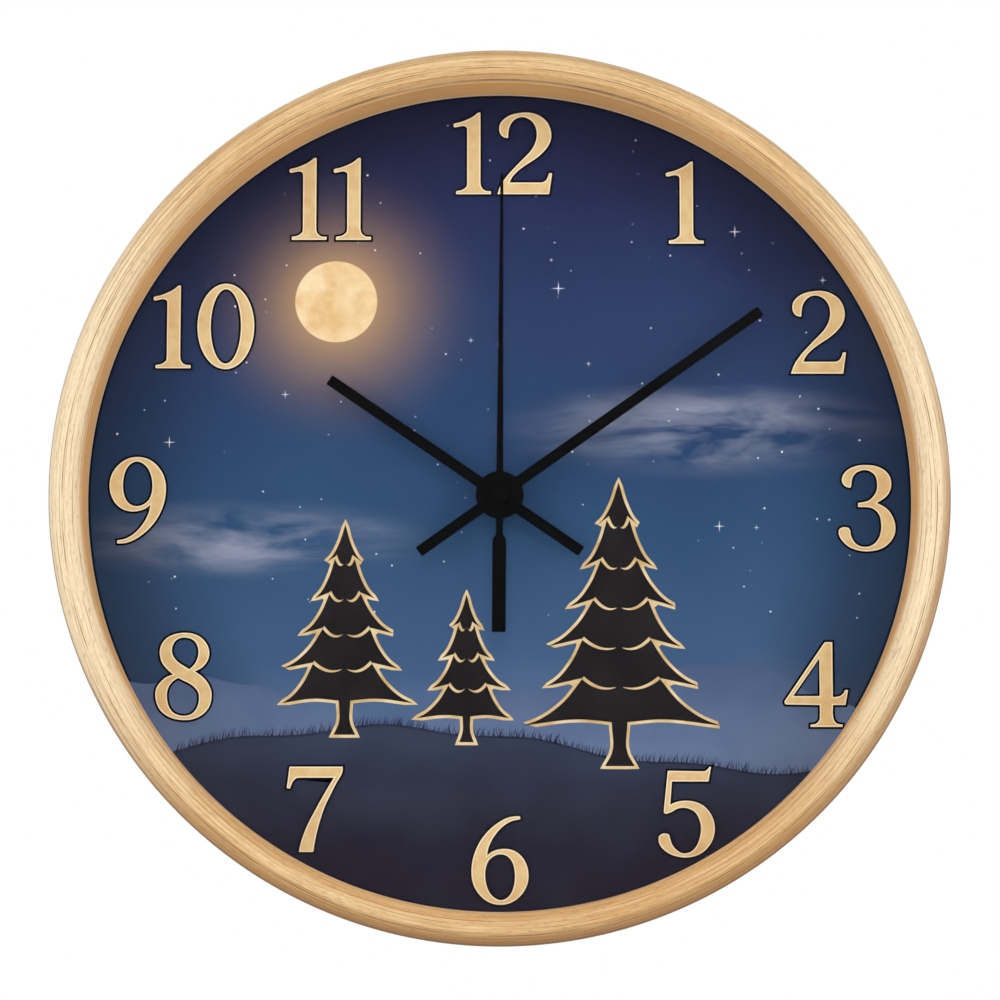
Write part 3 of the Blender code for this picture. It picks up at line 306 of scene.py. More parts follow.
def turned(name, profile, steps, centre=MIDDLE):
    """Closed ring or disc from a section of (radius, out) points, turned about an axis through the wall."""
    mesh = bpy.data.meshes.new(name)
    points = []
    faces = []
    count = len(profile)
    for step in range(steps):
        angle = 2 * pi * step / steps
        points += [(r * cos(angle), -out, centre + r * sin(angle)) for r, out in profile]
        for here in range(count):
            after = (here + 1) % count
            row, next_row = step * count, (step + 1) % steps * count
            faces.append((row + here, row + after, next_row + after, next_row + here))
    mesh.from_pydata(points, [], faces)
    return finish_mesh(mesh)


def flat_mesh(name, outlines, back, front, centre=MIDDLE, turn=0.0):
    """Plate between two depths from closed outlines of (x, up) points; inner outlines are holes."""
    curve = bpy.data.curves.new(name, "CURVE")
    curve.dimensions = "2D"
    curve.fill_mode = "BOTH"
    curve.extrude = (front - back) / 2
    for outline in outlines:
        spline = curve.splines.new("POLY")
        spline.points.add(len(outline) - 1)
        for point, (x, up) in zip(spline.points, outline):
            point.co = (x, up, 0, 1)
        spline.use_cyclic_u = True
    holder = bpy.data.objects.new(name, curve)
    mesh = bpy.data.meshes.new_from_object(holder)
    bpy.data.objects.remove(holder)
    bpy.data.curves.remove(curve)
    to_world = Matrix(((1, 0, 0, 0), (0, 0, -1, -(front + back) / 2), (0, 1, 0, centre), (0, 0, 0, 1)))
    mesh.transform(to_world @ Matrix.Rotation(turn, 4, "Z"))
    return finish_mesh(mesh)


def joined(name, meshes):
    """One mesh from several."""
    build = bmesh.new()
    for mesh in meshes:
        build.from_mesh(mesh)
    result = bpy.data.meshes.new(name)
    build.to_mesh(result)
    build.free()
    for mesh in meshes:
        bpy.data.meshes.remove(mesh)
    return finish_mesh(result)


def eased(mesh, width, segments=2, limit=40):
    """The mesh with its sharp edges rounded."""
    holder = bpy.data.objects.new(mesh.name, mesh)
    bpy.context.scene.collection.objects.link(holder)
    bevel = holder.modifiers.new("Rounding", "BEVEL")
    bevel.width = width
    bevel.segments = segments
    bevel.limit_method = "ANGLE"
    bevel.angle_limit = radians(limit)
    result = evaluated(holder)
    bpy.data.meshes.remove(mesh)
    return finish_mesh(result, 50)


def evaluated(holder):
    """Plain mesh of an object with its modifiers applied; the object is removed."""
    depsgraph = bpy.context.evaluated_depsgraph_get()
    depsgraph.update()
    mesh = bpy.data.meshes.new_from_object(holder.evaluated_get(depsgraph))
    bpy.data.objects.remove(holder)
    return mesh


def levelled(mesh):
    """The mesh with its flat faces shaded flat right up to their rounded edges."""
    holder = bpy.data.objects.new(mesh.name, mesh)
    bpy.context.scene.collection.objects.link(holder)
    holder.modifiers.new("Level shading", "WEIGHTED_NORMAL").keep_sharp = True
    result = evaluated(holder)
    bpy.data.meshes.remove(mesh)
    return result


def node_copy(node, width=0.0, segments=2):
    """Merged copy of a CAD node's mesh with flat faces joined and edges rounded."""
    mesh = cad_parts[node].data.copy()
    mesh.name = node
    build = bmesh.new()
    build.from_mesh(mesh)
    bmesh.ops.remove_doubles(build, verts=build.verts, dist=2e-6)
    bmesh.ops.dissolve_limit(build, angle_limit=radians(1), verts=build.verts, edges=build.edges)
    build.to_mesh(mesh)
    build.free()
    return levelled(eased(mesh, width, segments) if width else finish_mesh(mesh))


def around(tree, height):
    """Object coordinates centred on a height, their axes and the vector from the axis through that height."""
    where = add(tree, "ShaderNodeTexCoord").outputs["Object"]
    centred = add(tree, "ShaderNodeMapping", {"Vector": where, "Location": (0, 0, -height)})
    axes = add(tree, "ShaderNodeSeparateXYZ", {0: centred})
    spoke = add(tree, "ShaderNodeCombineXYZ", {"X": axes.outputs["X"], "Z": axes.outputs["Z"]})
    return centred, axes, spoke


def circle(radius, steps, x=0.0, up=0.0):
    """Closed outline of a circle."""
    angles = [2 * pi * i / steps for i in range(steps)]
    return [(x + radius * cos(a), up + radius * sin(a)) for a in angles]


def beech_veneer(wood):
    """Bent beech laminate under matt lacquer: fine rings of glue and long fibres run round the frame."""
    material, tree = new_material("lacquered_beech_laminate")
    _, axes, spoke = around(tree, MIDDLE)
    radius = add(tree, "ShaderNodeVectorMath", {0: spoke}, operation="LENGTH").outputs["Value"]
    heading = add(tree, "ShaderNodeVectorMath", {0: spoke}, operation="NORMALIZE")
    # Fibres are about 0.4 mm apart and 10 to 15 mm long, so a unit of heading is stretched ten times.
    across = add(tree, "ShaderNodeMath", {0: radius, 1: 1 / 0.0004}, operation="MULTIPLY")
    depth = add(tree, "ShaderNodeMath", {0: axes.outputs["Y"], 1: 1 / 0.0009}, operation="MULTIPLY")
    lift = add(tree, "ShaderNodeCombineXYZ", {"Y": across})
    fibre_at = add(
        tree, "ShaderNodeVectorMath", {0: heading, 1: (10, 10, 10), 2: lift}, operation="MULTIPLY_ADD"
    )
    fibre = add(
        tree,
        "ShaderNodeTexNoise",
        {"Vector": fibre_at, "W": depth, "Scale": 1.0, "Detail": 5.0, "Roughness": 0.62},
        noise_dimensions="4D",
    )
    # Broad figure: veneers differ from place to place over 40 mm along the ring.
    broad_at = add(
        tree, "ShaderNodeVectorMath", {0: heading, 1: (3, 3, 3), 2: lift}, operation="MULTIPLY_ADD"
    )
    broad = add(
        tree,
        "ShaderNodeTexNoise",
        {"Vector": broad_at, "W": depth, "Scale": 0.35, "Detail": 2.0, "Roughness": 0.5},
        noise_dimensions="4D",
    )
    # The bent rings stand a little low in the turned one, so their lines leave its middle as they go round.
    turn_axes = add(tree, "ShaderNodeSeparateXYZ", {0: heading})
    bent = add(
        tree,
        "ShaderNodeMath",
        {0: turn_axes.outputs["Z"], 1: wood.drift, 2: radius},
        operation="MULTIPLY_ADD",
    )
    # Veneers are counted inwards from half a veneer outside the outer wall.
    layers = add(tree, "ShaderNodeMath", {0: bent, 1: -OUTER_RADIUS}, operation="ADD")
    layers = add(tree, "ShaderNodeMath", {0: layers, 1: 1 / wood.veneer, 2: 0.5}, operation="MULTIPLY_ADD")
    # The lines waver over some 25 mm.
    waver = add(tree, "ShaderNodeTexNoise", {"Vector": heading, "Scale": 5.0, "Detail": 1.0})
    waver = add(tree, "ShaderNodeMath", {0: waver, 1: 0.16, 2: -0.08}, operation="MULTIPLY_ADD")
    layers = add(tree, "ShaderNodeMath", {0: layers, 1: waver}, operation="ADD")
    away = add(tree, "ShaderNodeMath", {0: layers, 1: 0.5}, operation="PINGPONG")
    line = add(tree, "ShaderNodeMapRange", {0: away, 1: 0.04, 2: 0.14, 3: 1.0, 4: 0.0})
    line.interpolation_type = "SMOOTHSTEP"
    # Glue shows in broken stretches of some 20 mm.
    broken_at = add(
        tree, "ShaderNodeVectorMath", {0: heading, 1: (6, 6, 6), 2: lift}, operation="MULTIPLY_ADD"
    )
    broken = add(tree, "ShaderNodeTexNoise", {"Vector": broken_at, "Scale": 0.9, "Detail": 3.0})
    broken = add(tree, "ShaderNodeMapRange", {0: broken, 1: 0.42, 2: 0.60, 3: 0.05, 4: 0.72})
    glue = add(tree, "ShaderNodeMath", {0: line, 1: broken}, operation="MULTIPLY")
    # The joint in the middle of the nose is the widest, with gaps some 17 mm apart.
    main = add(tree, "ShaderNodeMath", {0: bent, 1: OUTER_RADIUS - wood.joint}, operation="SUBTRACT")
    main = add(tree, "ShaderNodeMath", {0: main}, operation="ABSOLUTE")
    main = add(tree, "ShaderNodeMapRange", {0: main, 1: 0.00006, 2: 0.00024, 3: 0.85, 4: 0.0})
    gap = add(tree, "ShaderNodeTexNoise", {"Vector": heading, "Scale": 7.0, "Detail": 2.0})
    gap = add(tree, "ShaderNodeMapRange", {0: gap, 1: 0.36, 2: 0.52, 3: 0.15, 4: 1.0})
    main = add(tree, "ShaderNodeMath", {0: main, 1: gap}, operation="MULTIPLY")
    glue = add(tree, "ShaderNodeMath", {0: glue, 1: main}, operation="MAXIMUM")
    number = add(tree, "ShaderNodeMath", {0: layers}, operation="FLOOR")
    tone = add(tree, "ShaderNodeTexWhiteNoise", {"W": number}, noise_dimensions="1D").outputs["Value"]
    tone = add(tree, "ShaderNodeMath", {0: tone, 1: 0.35, 2: -0.15}, operation="MULTIPLY_ADD")
    # Veneers lie flat along the two walls, so only the nose and the back show their edges.
    inside = add(tree, "ShaderNodeMath", {0: axes.outputs["Y"], 1: wood.wall_middle}, operation="ADD")
    inside = add(tree, "ShaderNodeMath", {0: inside}, operation="ABSOLUTE")
    edges = add(
        tree, "ShaderNodeMapRange", {0: inside, 1: wood.wall_half - 0.0006, 2: wood.wall_half}
    )
    glue = add(tree, "ShaderNodeMath", {0: glue, 1: edges}, operation="MULTIPLY")
    tone = add(tree, "ShaderNodeMath", {0: tone, 1: edges}, operation="MULTIPLY")
    grain = add(tree, "ShaderNodeMapRange", {0: fibre, 1: 0.33, 2: 0.68, 3: 0.0, 4: 0.9})
    shade = add(tree, "ShaderNodeMapRange", {0: broad, 1: 0.35, 2: 0.70, 3: -0.15, 4: 0.45})
    mixed = add(tree, "ShaderNodeMath", {0: grain, 1: tone}, operation="ADD")
    mixed = add(tree, "ShaderNodeMath", {0: mixed, 1: shade}, operation="ADD", use_clamp=True)
    skin = add(tree, "ShaderNodeMix", {0: mixed, 6: wood.pale, 7: wood.deep}, data_type="RGBA").outputs[2]
    # The wood beside the opening is deeper in colour; this is partly painted shade where the lip rounds
    # inwards.
    lip = add(
        tree,
        "ShaderNodeMapRange",
        {0: radius, 1: wood.lip_radius + 0.0008, 2: wood.lip_radius + 0.0028, 3: 0.65, 4: 0.0},
    )
    skin = add(tree, "ShaderNodeMix", {0: lip, 6: skin, 7: wood.deep}, data_type="RGBA").outputs[2]
    # Painted sheen: the wood is made paler on the two sides of the ring than at its top and bottom, in place
    # of the gloss of the side lights.
    side_sheen_mask = add(tree, "ShaderNodeMath", {0: turn_axes.outputs["X"]}, operation="ABSOLUTE")
    side_sheen_mask = add(tree, "ShaderNodeMapRange", {0: side_sheen_mask, 1: 0.62, 2: 1.0, 3: 0.0, 4: 0.62})
    side_sheen_mask.interpolation_type = "SMOOTHSTEP"
    skin = add(tree, "ShaderNodeMix", {0: side_sheen_mask, 6: skin, 7: wood.painted_side_sheen}, data_type="RGBA").outputs[2]
    # Painted light: the edge of the opening, which turns down into shade, is lightened to a pale tan.
    lip_light_mask = add(
        tree,
        "ShaderNodeMapRange",
        {0: radius, 1: wood.lip_radius + 0.00003, 2: wood.lip_radius + 0.00035, 3: 1.0, 4: 0.0},
    )
    skin = add(tree, "ShaderNodeMix", {0: lip_light_mask, 6: skin, 7: wood.painted_lip_light}, data_type="RGBA").outputs[2]
    # Along the lower right half the outermost veneers are browner and streaked; this brown is partly painted
    # shade on the outer nose where it faces down.
    low = add(tree, "ShaderNodeVectorMath", {0: heading, 1: (0.42, 0, -0.907)}, operation="DOT_PRODUCT")
    low = add(tree, "ShaderNodeMapRange", {0: low.outputs["Value"], 1: -0.15, 2: 0.6})
    low.interpolation_type = "SMOOTHSTEP"
    band = add(
        tree,
        "ShaderNodeMapRange",
        {0: radius, 1: OUTER_RADIUS - 0.0042, 2: OUTER_RADIUS - 0.0016, 3: 0.0, 4: 0.92},
    )
    band.interpolation_type = "SMOOTHSTEP"
    brown = add(tree, "ShaderNodeMath", {0: low, 1: band}, operation="MULTIPLY")
    streaks = add(tree, "ShaderNodeMapRange", {0: fibre, 1: 0.30, 2: 0.70, 3: 1.0, 4: 0.55})
    brown = add(tree, "ShaderNodeMath", {0: brown, 1: streaks}, operation="MULTIPLY")
    skin = add(tree, "ShaderNodeMix", {0: brown, 6: skin, 7: wood.brown_veneer_and_shade}, data_type="RGBA").outputs[2]
    # Flecks of beech are 2 to 3 mm long and 0.4 mm wide.
    fleck_at = add(
        tree, "ShaderNodeVectorMath", {0: heading, 1: (48, 48, 48), 2: lift}, operation="MULTIPLY_ADD"
    )
    fleck = add(
        tree,
        "ShaderNodeTexNoise",
        {"Vector": fleck_at, "W": depth, "Scale": 1.2, "Detail": 2.0},
        noise_dimensions="4D",
    )
    fleck = add(tree, "ShaderNodeMapRange", {0: fleck, 1: 0.54, 2: 0.72, 3: 0.0, 4: 0.45})
    glue = add(tree, "ShaderNodeMath", {0: glue, 1: fleck}, operation="MAXIMUM")
    skin = add(tree, "ShaderNodeMix", {0: glue, 6: skin, 7: wood.glue}, data_type="RGBA").outputs[2]
    # Darker outer veneer on the outer wall and the outermost edge of the nose; it is partly painted shade
    # along that edge.
    wall = add(tree, "ShaderNodeMapRange", {0: radius, 1: OUTER_RADIUS - 0.0009, 2: OUTER_RADIUS - 0.0004})
    stained = add(tree, "ShaderNodeMapRange", {0: fibre, 1: 0.3, 2: 0.7, 3: 1.0, 4: 0.72})
    wall = add(tree, "ShaderNodeMath", {0: wall, 1: stained}, operation="MULTIPLY")
    skin = add(tree, "ShaderNodeMix", {0: wall, 6: skin, 7: wood.outer}, data_type="RGBA").outputs[2]
    # A brown figure runs along the outer veneer over two short stretches on the right.
    patch = add(tree, "ShaderNodeVectorMath", {0: heading, 1: (0.985, 0, 0.171)}, operation="DISTANCE")
    low_patch = add(tree, "ShaderNodeVectorMath", {0: heading, 1: (1.0, 0, -0.05)}, operation="DISTANCE")
    patch = add(
        tree,
        "ShaderNodeMath",
        {0: patch.outputs["Value"], 1: low_patch.outputs["Value"]},
        operation="MINIMUM",
    )
    patch = add(tree, "ShaderNodeMapRange", {0: patch, 1: 0.03, 2: 0.09, 3: 1.0, 4: 0.0})
    rim = add(tree, "ShaderNodeMapRange", {0: radius, 1: OUTER_RADIUS - 0.0014, 2: OUTER_RADIUS - 0.0006})
    rim = add(tree, "ShaderNodeMath", {0: rim, 1: patch}, operation="MULTIPLY")
    spots = add(tree, "ShaderNodeMapRange", {0: fibre, 1: 0.40, 2: 0.58, 3: 0.1, 4: 0.95})
    rim = add(tree, "ShaderNodeMath", {0: rim, 1: spots}, operation="MULTIPLY")
    skin = add(tree, "ShaderNodeMix", {0: rim, 6: skin, 7: wood.mark}, data_type="RGBA").outputs[2]
    relief = add(tree, "ShaderNodeMath", {0: fibre, 1: 0.5}, operation="MULTIPLY")
    relief = add(tree, "ShaderNodeMath", {0: relief, 1: glue}, operation="SUBTRACT")
    bump = add(tree, "ShaderNodeBump", {"Height": relief, "Strength": 0.25, "Distance": 0.0001})
    rough = add(tree, "ShaderNodeMapRange", {0: fibre, 3: 0.44, 4: 0.60})
    surface = add(
        tree,
        "ShaderNodeBsdfPrincipled",
        {"Base Color": skin, "Roughness": rough, "Normal": bump, "IOR": 1.5, "Specular IOR Level": 0.14},
    )
    add(tree, "ShaderNodeOutputMaterial", {"Surface": surface})
    return material


def stained_liner(wood):
    """Stained veneer of the inner wall: an even orange tan, fine streaks round the ring and a pale edge."""
    material, tree = new_material("stained_beech_veneer")
    _, axes, spoke = around(tree, MIDDLE)
    heading = add(tree, "ShaderNodeVectorMath", {0: spoke}, operation="NORMALIZE")
    # Streaks are about 1.5 mm wide across the wall and 15 mm long round it.
    across = add(tree, "ShaderNodeMath", {0: axes.outputs["Y"], 1: 1 / 0.0015}, operation="MULTIPLY")
    lift = add(tree, "ShaderNodeCombineXYZ", {"Y": across})
    streak_at = add(
        tree, "ShaderNodeVectorMath", {0: heading, 1: (8, 8, 8), 2: lift}, operation="MULTIPLY_ADD"
    )
    streak = add(tree, "ShaderNodeTexNoise", {"Vector": streak_at, "Scale": 1.0, "Detail": 4.0})
    grain = add(tree, "ShaderNodeMapRange", {0: streak, 1: 0.32, 2: 0.70})
    skin = add(tree, "ShaderNodeMix", {0: grain, 6: wood.liner, 7: wood.liner_deep}, data_type="RGBA")
    # The pale edge beside the dial is about 1.5 mm wide.
    edge = add(
        tree,
        "ShaderNodeMapRange",
        {0: axes.outputs["Y"], 1: LINER_HIGH.y - 0.0017, 2: LINER_HIGH.y - 0.0012, 3: 0.0, 4: 0.9},
    )
    skin = add(tree, "ShaderNodeMix", {0: edge, 6: skin.outputs[2], 7: wood.liner_edge}, data_type="RGBA")
    bump = add(tree, "ShaderNodeBump", {"Height": streak, "Strength": 0.2, "Distance": 0.0001})
    surface = add(
        tree,
        "ShaderNodeBsdfPrincipled",
        {"Base Color": skin.outputs[2], "Roughness": 0.55, "Normal": bump, "Specular IOR Level": 0.3},
    )
    add(tree, "ShaderNodeOutputMaterial", {"Surface": surface})
    return material


def cast_acrylic():
    """Thin cast acrylic: clear, so only a faint gloss lies over the dial."""
    material, tree = new_material("cast_acrylic")
    surface = add(
        tree,
        "ShaderNodeBsdfPrincipled",
        {"Base Color": linear("1A1A1C"), "Roughness": 0.04, "IOR": 1.49, "Alpha": 0.02},
    )
    add(tree, "ShaderNodeOutputMaterial", {"Surface": surface})
    return material


# Banks of cloud from the middle of the dial, as (across, up, half width, half height, weight).
CLOUD_BANKS = ((0.058, 0.020, 0.050, 0.012, 1.0), (-0.074, -0.012, 0.048, 0.010, 0.9))


def printed_sky(dial):
    """Inkjet print on matt paper: a night sky that pales to the horizon, with thin cloud and a warm glow."""
    material, tree = new_material("printed_night_sky")
    centred, axes, spoke = around(tree, MIDDLE)
    radius = add(tree, "ShaderNodeVectorMath", {0: spoke}, operation="LENGTH").outputs["Value"]
    # Clouds drift sideways, so their noise is stretched four times across; features are about 15 mm.
    drift = add(tree, "ShaderNodeMapping", {"Vector": centred, "Scale": (26, 1, 95)}, vector_type="POINT")
    puff = add(
        tree,
        "ShaderNodeTexNoise",
        {"Vector": drift, "Scale": 1.0, "Detail": 6.0, "Roughness": 0.58, "Distortion": 0.5},
    )
    # The sky's tones rise and fall over some 40 mm.
    sway = add(tree, "ShaderNodeTexNoise", {"Vector": centred, "Scale": 24.0, "Detail": 2.0})
    sway = add(tree, "ShaderNodeMath", {0: sway, 1: 0.05, 2: -0.025}, operation="MULTIPLY_ADD")
    height = add(tree, "ShaderNodeMath", {0: axes.outputs["Z"], 1: sway}, operation="ADD")
    level = add(tree, "ShaderNodeMapRange", {0: height, 1: -0.075, 2: 0.118})
    sky = add(
        tree,
        "ShaderNodeValToRGB",
        {0: level},
        stops=[
            (0.0, dial.haze),
            (0.13, dial.sky_low),
            (0.36, dial.sky_middle),
            (0.68, dial.sky_high),
            (0.93, dial.sky_top),
        ],
    )
    skin = sky.outputs["Color"]
    for across, up, wide, tall, weight in CLOUD_BANKS:
        bank = add(
            tree,
            "ShaderNodeMapping",
            {"Vector": centred, "Location": (across, 0, up), "Scale": (wide, 1, tall)},
            vector_type="TEXTURE",
        )
        bank_axes = add(tree, "ShaderNodeSeparateXYZ", {0: bank})
        spread = add(
            tree, "ShaderNodeCombineXYZ", {"X": bank_axes.outputs["X"], "Z": bank_axes.outputs["Z"]}
        )
        spread = add(tree, "ShaderNodeVectorMath", {0: spread}, operation="LENGTH").outputs["Value"]
        fade = add(tree, "ShaderNodeMapRange", {0: spread, 1: 0.1, 2: 1.4, 3: weight, 4: 0.0})
        fade.interpolation_type = "SMOOTHERSTEP"
        thick = add(tree, "ShaderNodeMapRange", {0: puff, 1: 0.37, 2: 0.63})
        cover = add(tree, "ShaderNodeMath", {0: fade, 1: thick}, operation="MULTIPLY")
        skin = add(tree, "ShaderNodeMix", {0: cover, 6: skin, 7: dial.cloud}, data_type="RGBA").outputs[2]
    moon = (dial.moon_x, 0, dial.moon_z)
    near = add(tree, "ShaderNodeVectorMath", {0: spoke, 1: moon}, operation="DISTANCE").outputs["Value"]
    halo = add(tree, "ShaderNodeMapRange", {0: near, 1: dial.moon_radius * 0.9, 2: 0.046, 3: 1.0, 4: 0.0})
    halo = add(tree, "ShaderNodeMath", {0: halo, 1: 2.4}, operation="POWER")
    halo = add(tree, "ShaderNodeMath", {0: halo, 1: 0.72}, operation="MULTIPLY")
    skin = add(tree, "ShaderNodeMix", {0: halo, 6: skin, 7: dial.glow}, data_type="RGBA").outputs[2]
    # The print darkens towards the rim of the dial.
    rim = add(tree, "ShaderNodeMapRange", {0: radius, 1: 0.078, 2: 0.121, 3: 0.0, 4: 0.62})
    rim.interpolation_type = "SMOOTHSTEP"
    skin = add(tree, "ShaderNodeMix", {0: rim, 6: skin, 7: linear("15182F")}, data_type="RGBA").outputs[2]
    # Painted shadow: a black ring 0.6 mm wide darkens the print beside the wooden wall.
    edge_shadow = add(tree, "ShaderNodeMapRange", {0: radius, 1: 0.1167, 2: 0.1171, 3: 0.0, 4: 0.9})
    skin = add(tree, "ShaderNodeMix", {0: edge_shadow, 6: skin, 7: linear("06060B")}, data_type="RGBA").outputs[2]
    surface = add(
        tree,
        "ShaderNodeBsdfPrincipled",
        {"Base Color": skin, "Roughness": 0.6, "Specular IOR Level": 0.02},
    )
    add(tree, "ShaderNodeOutputMaterial", {"Surface": surface})
    return material


def ink(name, first, second, size=0.008, rough=0.6, stretch=(1, 1, 1), fall=None):
    """Printed colour on matt paper with soft mottling between two shades of the given size."""
    material, tree = new_material(name)
    where = add(tree, "ShaderNodeTexCoord").outputs["Object"]
    placed = add(tree, "ShaderNodeMapping", {"Vector": where, "Location": (0, 0, -MIDDLE), "Scale": stretch})
    mottle = add(tree, "ShaderNodeTexNoise", {"Vector": placed, "Scale": 1 / size, "Detail": 4.0})
    share = add(tree, "ShaderNodeMapRange", {0: mottle, 1: 0.35, 2: 0.68})
    if fall:
        axes = add(tree, "ShaderNodeSeparateXYZ", {0: placed})
        level = add(tree, "ShaderNodeMapRange", {0: axes.outputs["Z"], 1: fall[0], 2: fall[1]})
        soft = add(tree, "ShaderNodeMath", {0: share, 1: 0.3, 2: -0.15}, operation="MULTIPLY_ADD")
        share = add(tree, "ShaderNodeMath", {0: level, 1: soft}, operation="ADD", use_clamp=True)
    skin = add(tree, "ShaderNodeMix", {0: share, 6: first, 7: second}, data_type="RGBA").outputs[2]
    surface = add(
        tree,
        "ShaderNodeBsdfPrincipled",
        {"Base Color": skin, "Roughness": rough, "Specular IOR Level": 0.02},
    )
    add(tree, "ShaderNodeOutputMaterial", {"Surface": surface})
    return material


def satin_paint(hands):
    """Satin black paint on pressed aluminium: a fine orange peel breaks its dull sheen."""
    material, tree = new_material("satin_black_paint")
    where = add(tree, "ShaderNodeTexCoord").outputs["Object"]
    # Orange peel of 0.4 mm, about as fine as the picture shows.
    peel = add(tree, "ShaderNodeTexNoise", {"Vector": where, "Scale": 1 / 0.0004, "Detail": 2.0})
    bump = add(tree, "ShaderNodeBump", {"Height": peel, "Strength": 0.15, "Distance": 0.00005})
    rough = add(tree, "ShaderNodeMapRange", {0: peel, 3: 0.45, 4: 0.6})
    # Dust lies in patches of about 8 mm.
    dust = add(tree, "ShaderNodeTexNoise", {"Vector": where, "Scale": 120.0, "Detail": 3.0})
    shade = add(tree, "ShaderNodeMapRange", {0: dust, 1: 0.3, 2: 0.8, 3: 0.0, 4: 0.35})
    skin = add(tree, "ShaderNodeMix", {0: shade, 6: hands.paint, 7: linear("0A0A0B")}, data_type="RGBA")
    surface = add(
        tree,
        "ShaderNodeBsdfPrincipled",
        {"Base Color": skin.outputs[2], "Roughness": rough, "Normal": bump, "Specular IOR Level": 0.02},
    )
    add(tree, "ShaderNodeOutputMaterial", {"Surface": surface})
    return material


def plain_finish(name, first, second, size, rough, metal=0.0, relief=0.00003, stretch=(1, 1, 1)):
    """Moulded, plated or drawn surface: two close shades, a fine relief and uneven gloss of one real size."""
    material, tree = new_material(name)
    where = add(tree, "ShaderNodeTexCoord").outputs["Object"]
    placed = add(tree, "ShaderNodeMapping", {"Vector": where, "Scale": stretch})
    fine = add(tree, "ShaderNodeTexNoise", {"Vector": placed, "Scale": 1 / size, "Detail": 4.0})
    broad = add(tree, "ShaderNodeTexNoise", {"Vector": placed, "Scale": 0.08 / size, "Detail": 3.0})
    share = add(tree, "ShaderNodeMath", {0: fine, 1: broad}, operation="MULTIPLY")
    share = add(tree, "ShaderNodeMapRange", {0: share, 1: 0.12, 2: 0.42})
    skin = add(tree, "ShaderNodeMix", {0: share, 6: first, 7: second}, data_type="RGBA").outputs[2]
    gloss = add(tree, "ShaderNodeMapRange", {0: broad, 1: 0.3, 2: 0.7, 3: rough - 0.07, 4: rough + 0.07})
    bump = add(tree, "ShaderNodeBump", {"Height": fine, "Strength": 0.3, "Distance": relief})
    surface = add(
        tree,
        "ShaderNodeBsdfPrincipled",
        {"Base Color": skin, "Roughness": gloss, "Normal": bump, "Metallic": metal},
    )
    add(tree, "ShaderNodeOutputMaterial", {"Surface": surface})
    return material


def turned_brass(fittings):
    """Turned brass: fine tool rings round the shaft."""
    material, tree = new_material("turned_brass")
    centred, _, spoke = around(tree, SHAFT)
    radius = add(tree, "ShaderNodeVectorMath", {0: spoke}, operation="LENGTH").outputs["Value"]
    # Tool marks are 0.1 mm apart; they are drawn at 0.25 mm so that they show.
    turns = add(tree, "ShaderNodeMath", {0: radius, 1: 2 * pi / 0.00025}, operation="MULTIPLY")
    rings = add(tree, "ShaderNodeMath", {0: turns}, operation="SINE")
    # Tarnish lies in spots of about 3 mm.
    tarnish = add(tree, "ShaderNodeTexNoise", {"Vector": centred, "Scale": 300.0, "Detail": 4.0})
    skin = add(
        tree, "ShaderNodeMix", {0: tarnish, 6: fittings.brass, 7: linear("A98345")}, data_type="RGBA"
    )
    bump = add(tree, "ShaderNodeBump", {"Height": rings, "Strength": 0.2, "Distance": 0.00002})
    surface = add(
        tree,
        "ShaderNodeBsdfPrincipled",
        {"Base Color": skin.outputs[2], "Roughness": 0.3, "Normal": bump, "Metallic": 1.0},
    )
    add(tree, "ShaderNodeOutputMaterial", {"Surface": surface})
    return material


def wound_copper(fittings):
    """Enamelled copper wire wound in close turns along the coil."""
    material, tree = new_material("enamelled_copper_winding")
    where = add(tree, "ShaderNodeTexCoord").outputs["Object"]
    axes = add(tree, "ShaderNodeSeparateXYZ", {0: where})
    # The wire is 0.03 mm; its turns are drawn 0.3 mm apart so that they show.
    turns = add(tree, "ShaderNodeMath", {0: axes.outputs["Z"], 1: 2 * pi / 0.0003}, operation="MULTIPLY")
    wave = add(tree, "ShaderNodeMath", {0: turns}, operation="SINE")
    shade = add(tree, "ShaderNodeMapRange", {0: wave, 1: -1.0, 2: 1.0, 3: 0.0, 4: 0.8})
    skin = add(tree, "ShaderNodeMix", {0: shade, 6: linear("6E3A1C"), 7: fittings.copper}, data_type="RGBA")
    bump = add(tree, "ShaderNodeBump", {"Height": wave, "Strength": 0.5, "Distance": 0.00008})
    surface = add(
        tree,
        "ShaderNodeBsdfPrincipled",
        {"Base Color": skin.outputs[2], "Roughness": 0.35, "Normal": bump, "Metallic": 0.8},
    )
    add(tree, "ShaderNodeOutputMaterial", {"Surface": surface})
    return material


def battery_film(fittings):
    """Shrunk printed film: a dark jacket, a brass band at the positive end and bare steel ends."""
    low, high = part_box("battery")
    material, tree = new_material("shrunk_battery_film")
    where = add(tree, "ShaderNodeTexCoord").outputs["Object"]
    axes = add(tree, "ShaderNodeSeparateXYZ", {0: where})
    along = add(tree, "ShaderNodeMapRange", {0: axes.outputs["X"], 1: low.x, 2: high.x})
    # Scuffs are about 2.5 mm across.
    scuff = add(tree, "ShaderNodeTexNoise", {"Vector": where, "Scale": 400.0, "Detail": 3.0})
    steel = linear("B4B7BA")
    bands = add(
        tree,
        "ShaderNodeValToRGB",
        {0: along},
        stops=[
            (0.0, steel),
            (0.012, fittings.jacket),
            (0.70, linear("E9E6DC")),
            (0.715, fittings.jacket_band),
            (0.962, steel),
        ],
    )
    bands.color_ramp.interpolation = "CONSTANT"
    worn = add(tree, "ShaderNodeMapRange", {0: scuff, 1: 0.62, 2: 0.80, 3: 0.0, 4: 0.35})
    skin = add(tree, "ShaderNodeMix", {0: worn, 6: bands, 7: linear("8C8F94")}, data_type="RGBA").outputs[2]
    rough = add(tree, "ShaderNodeMapRange", {0: scuff, 3: 0.25, 4: 0.45})
    surface = add(
        tree, "ShaderNodeBsdfPrincipled", {"Base Color": skin, "Roughness": rough, "Metallic": 0.25}
    )
    add(tree, "ShaderNodeOutputMaterial", {"Surface": surface})
    return material


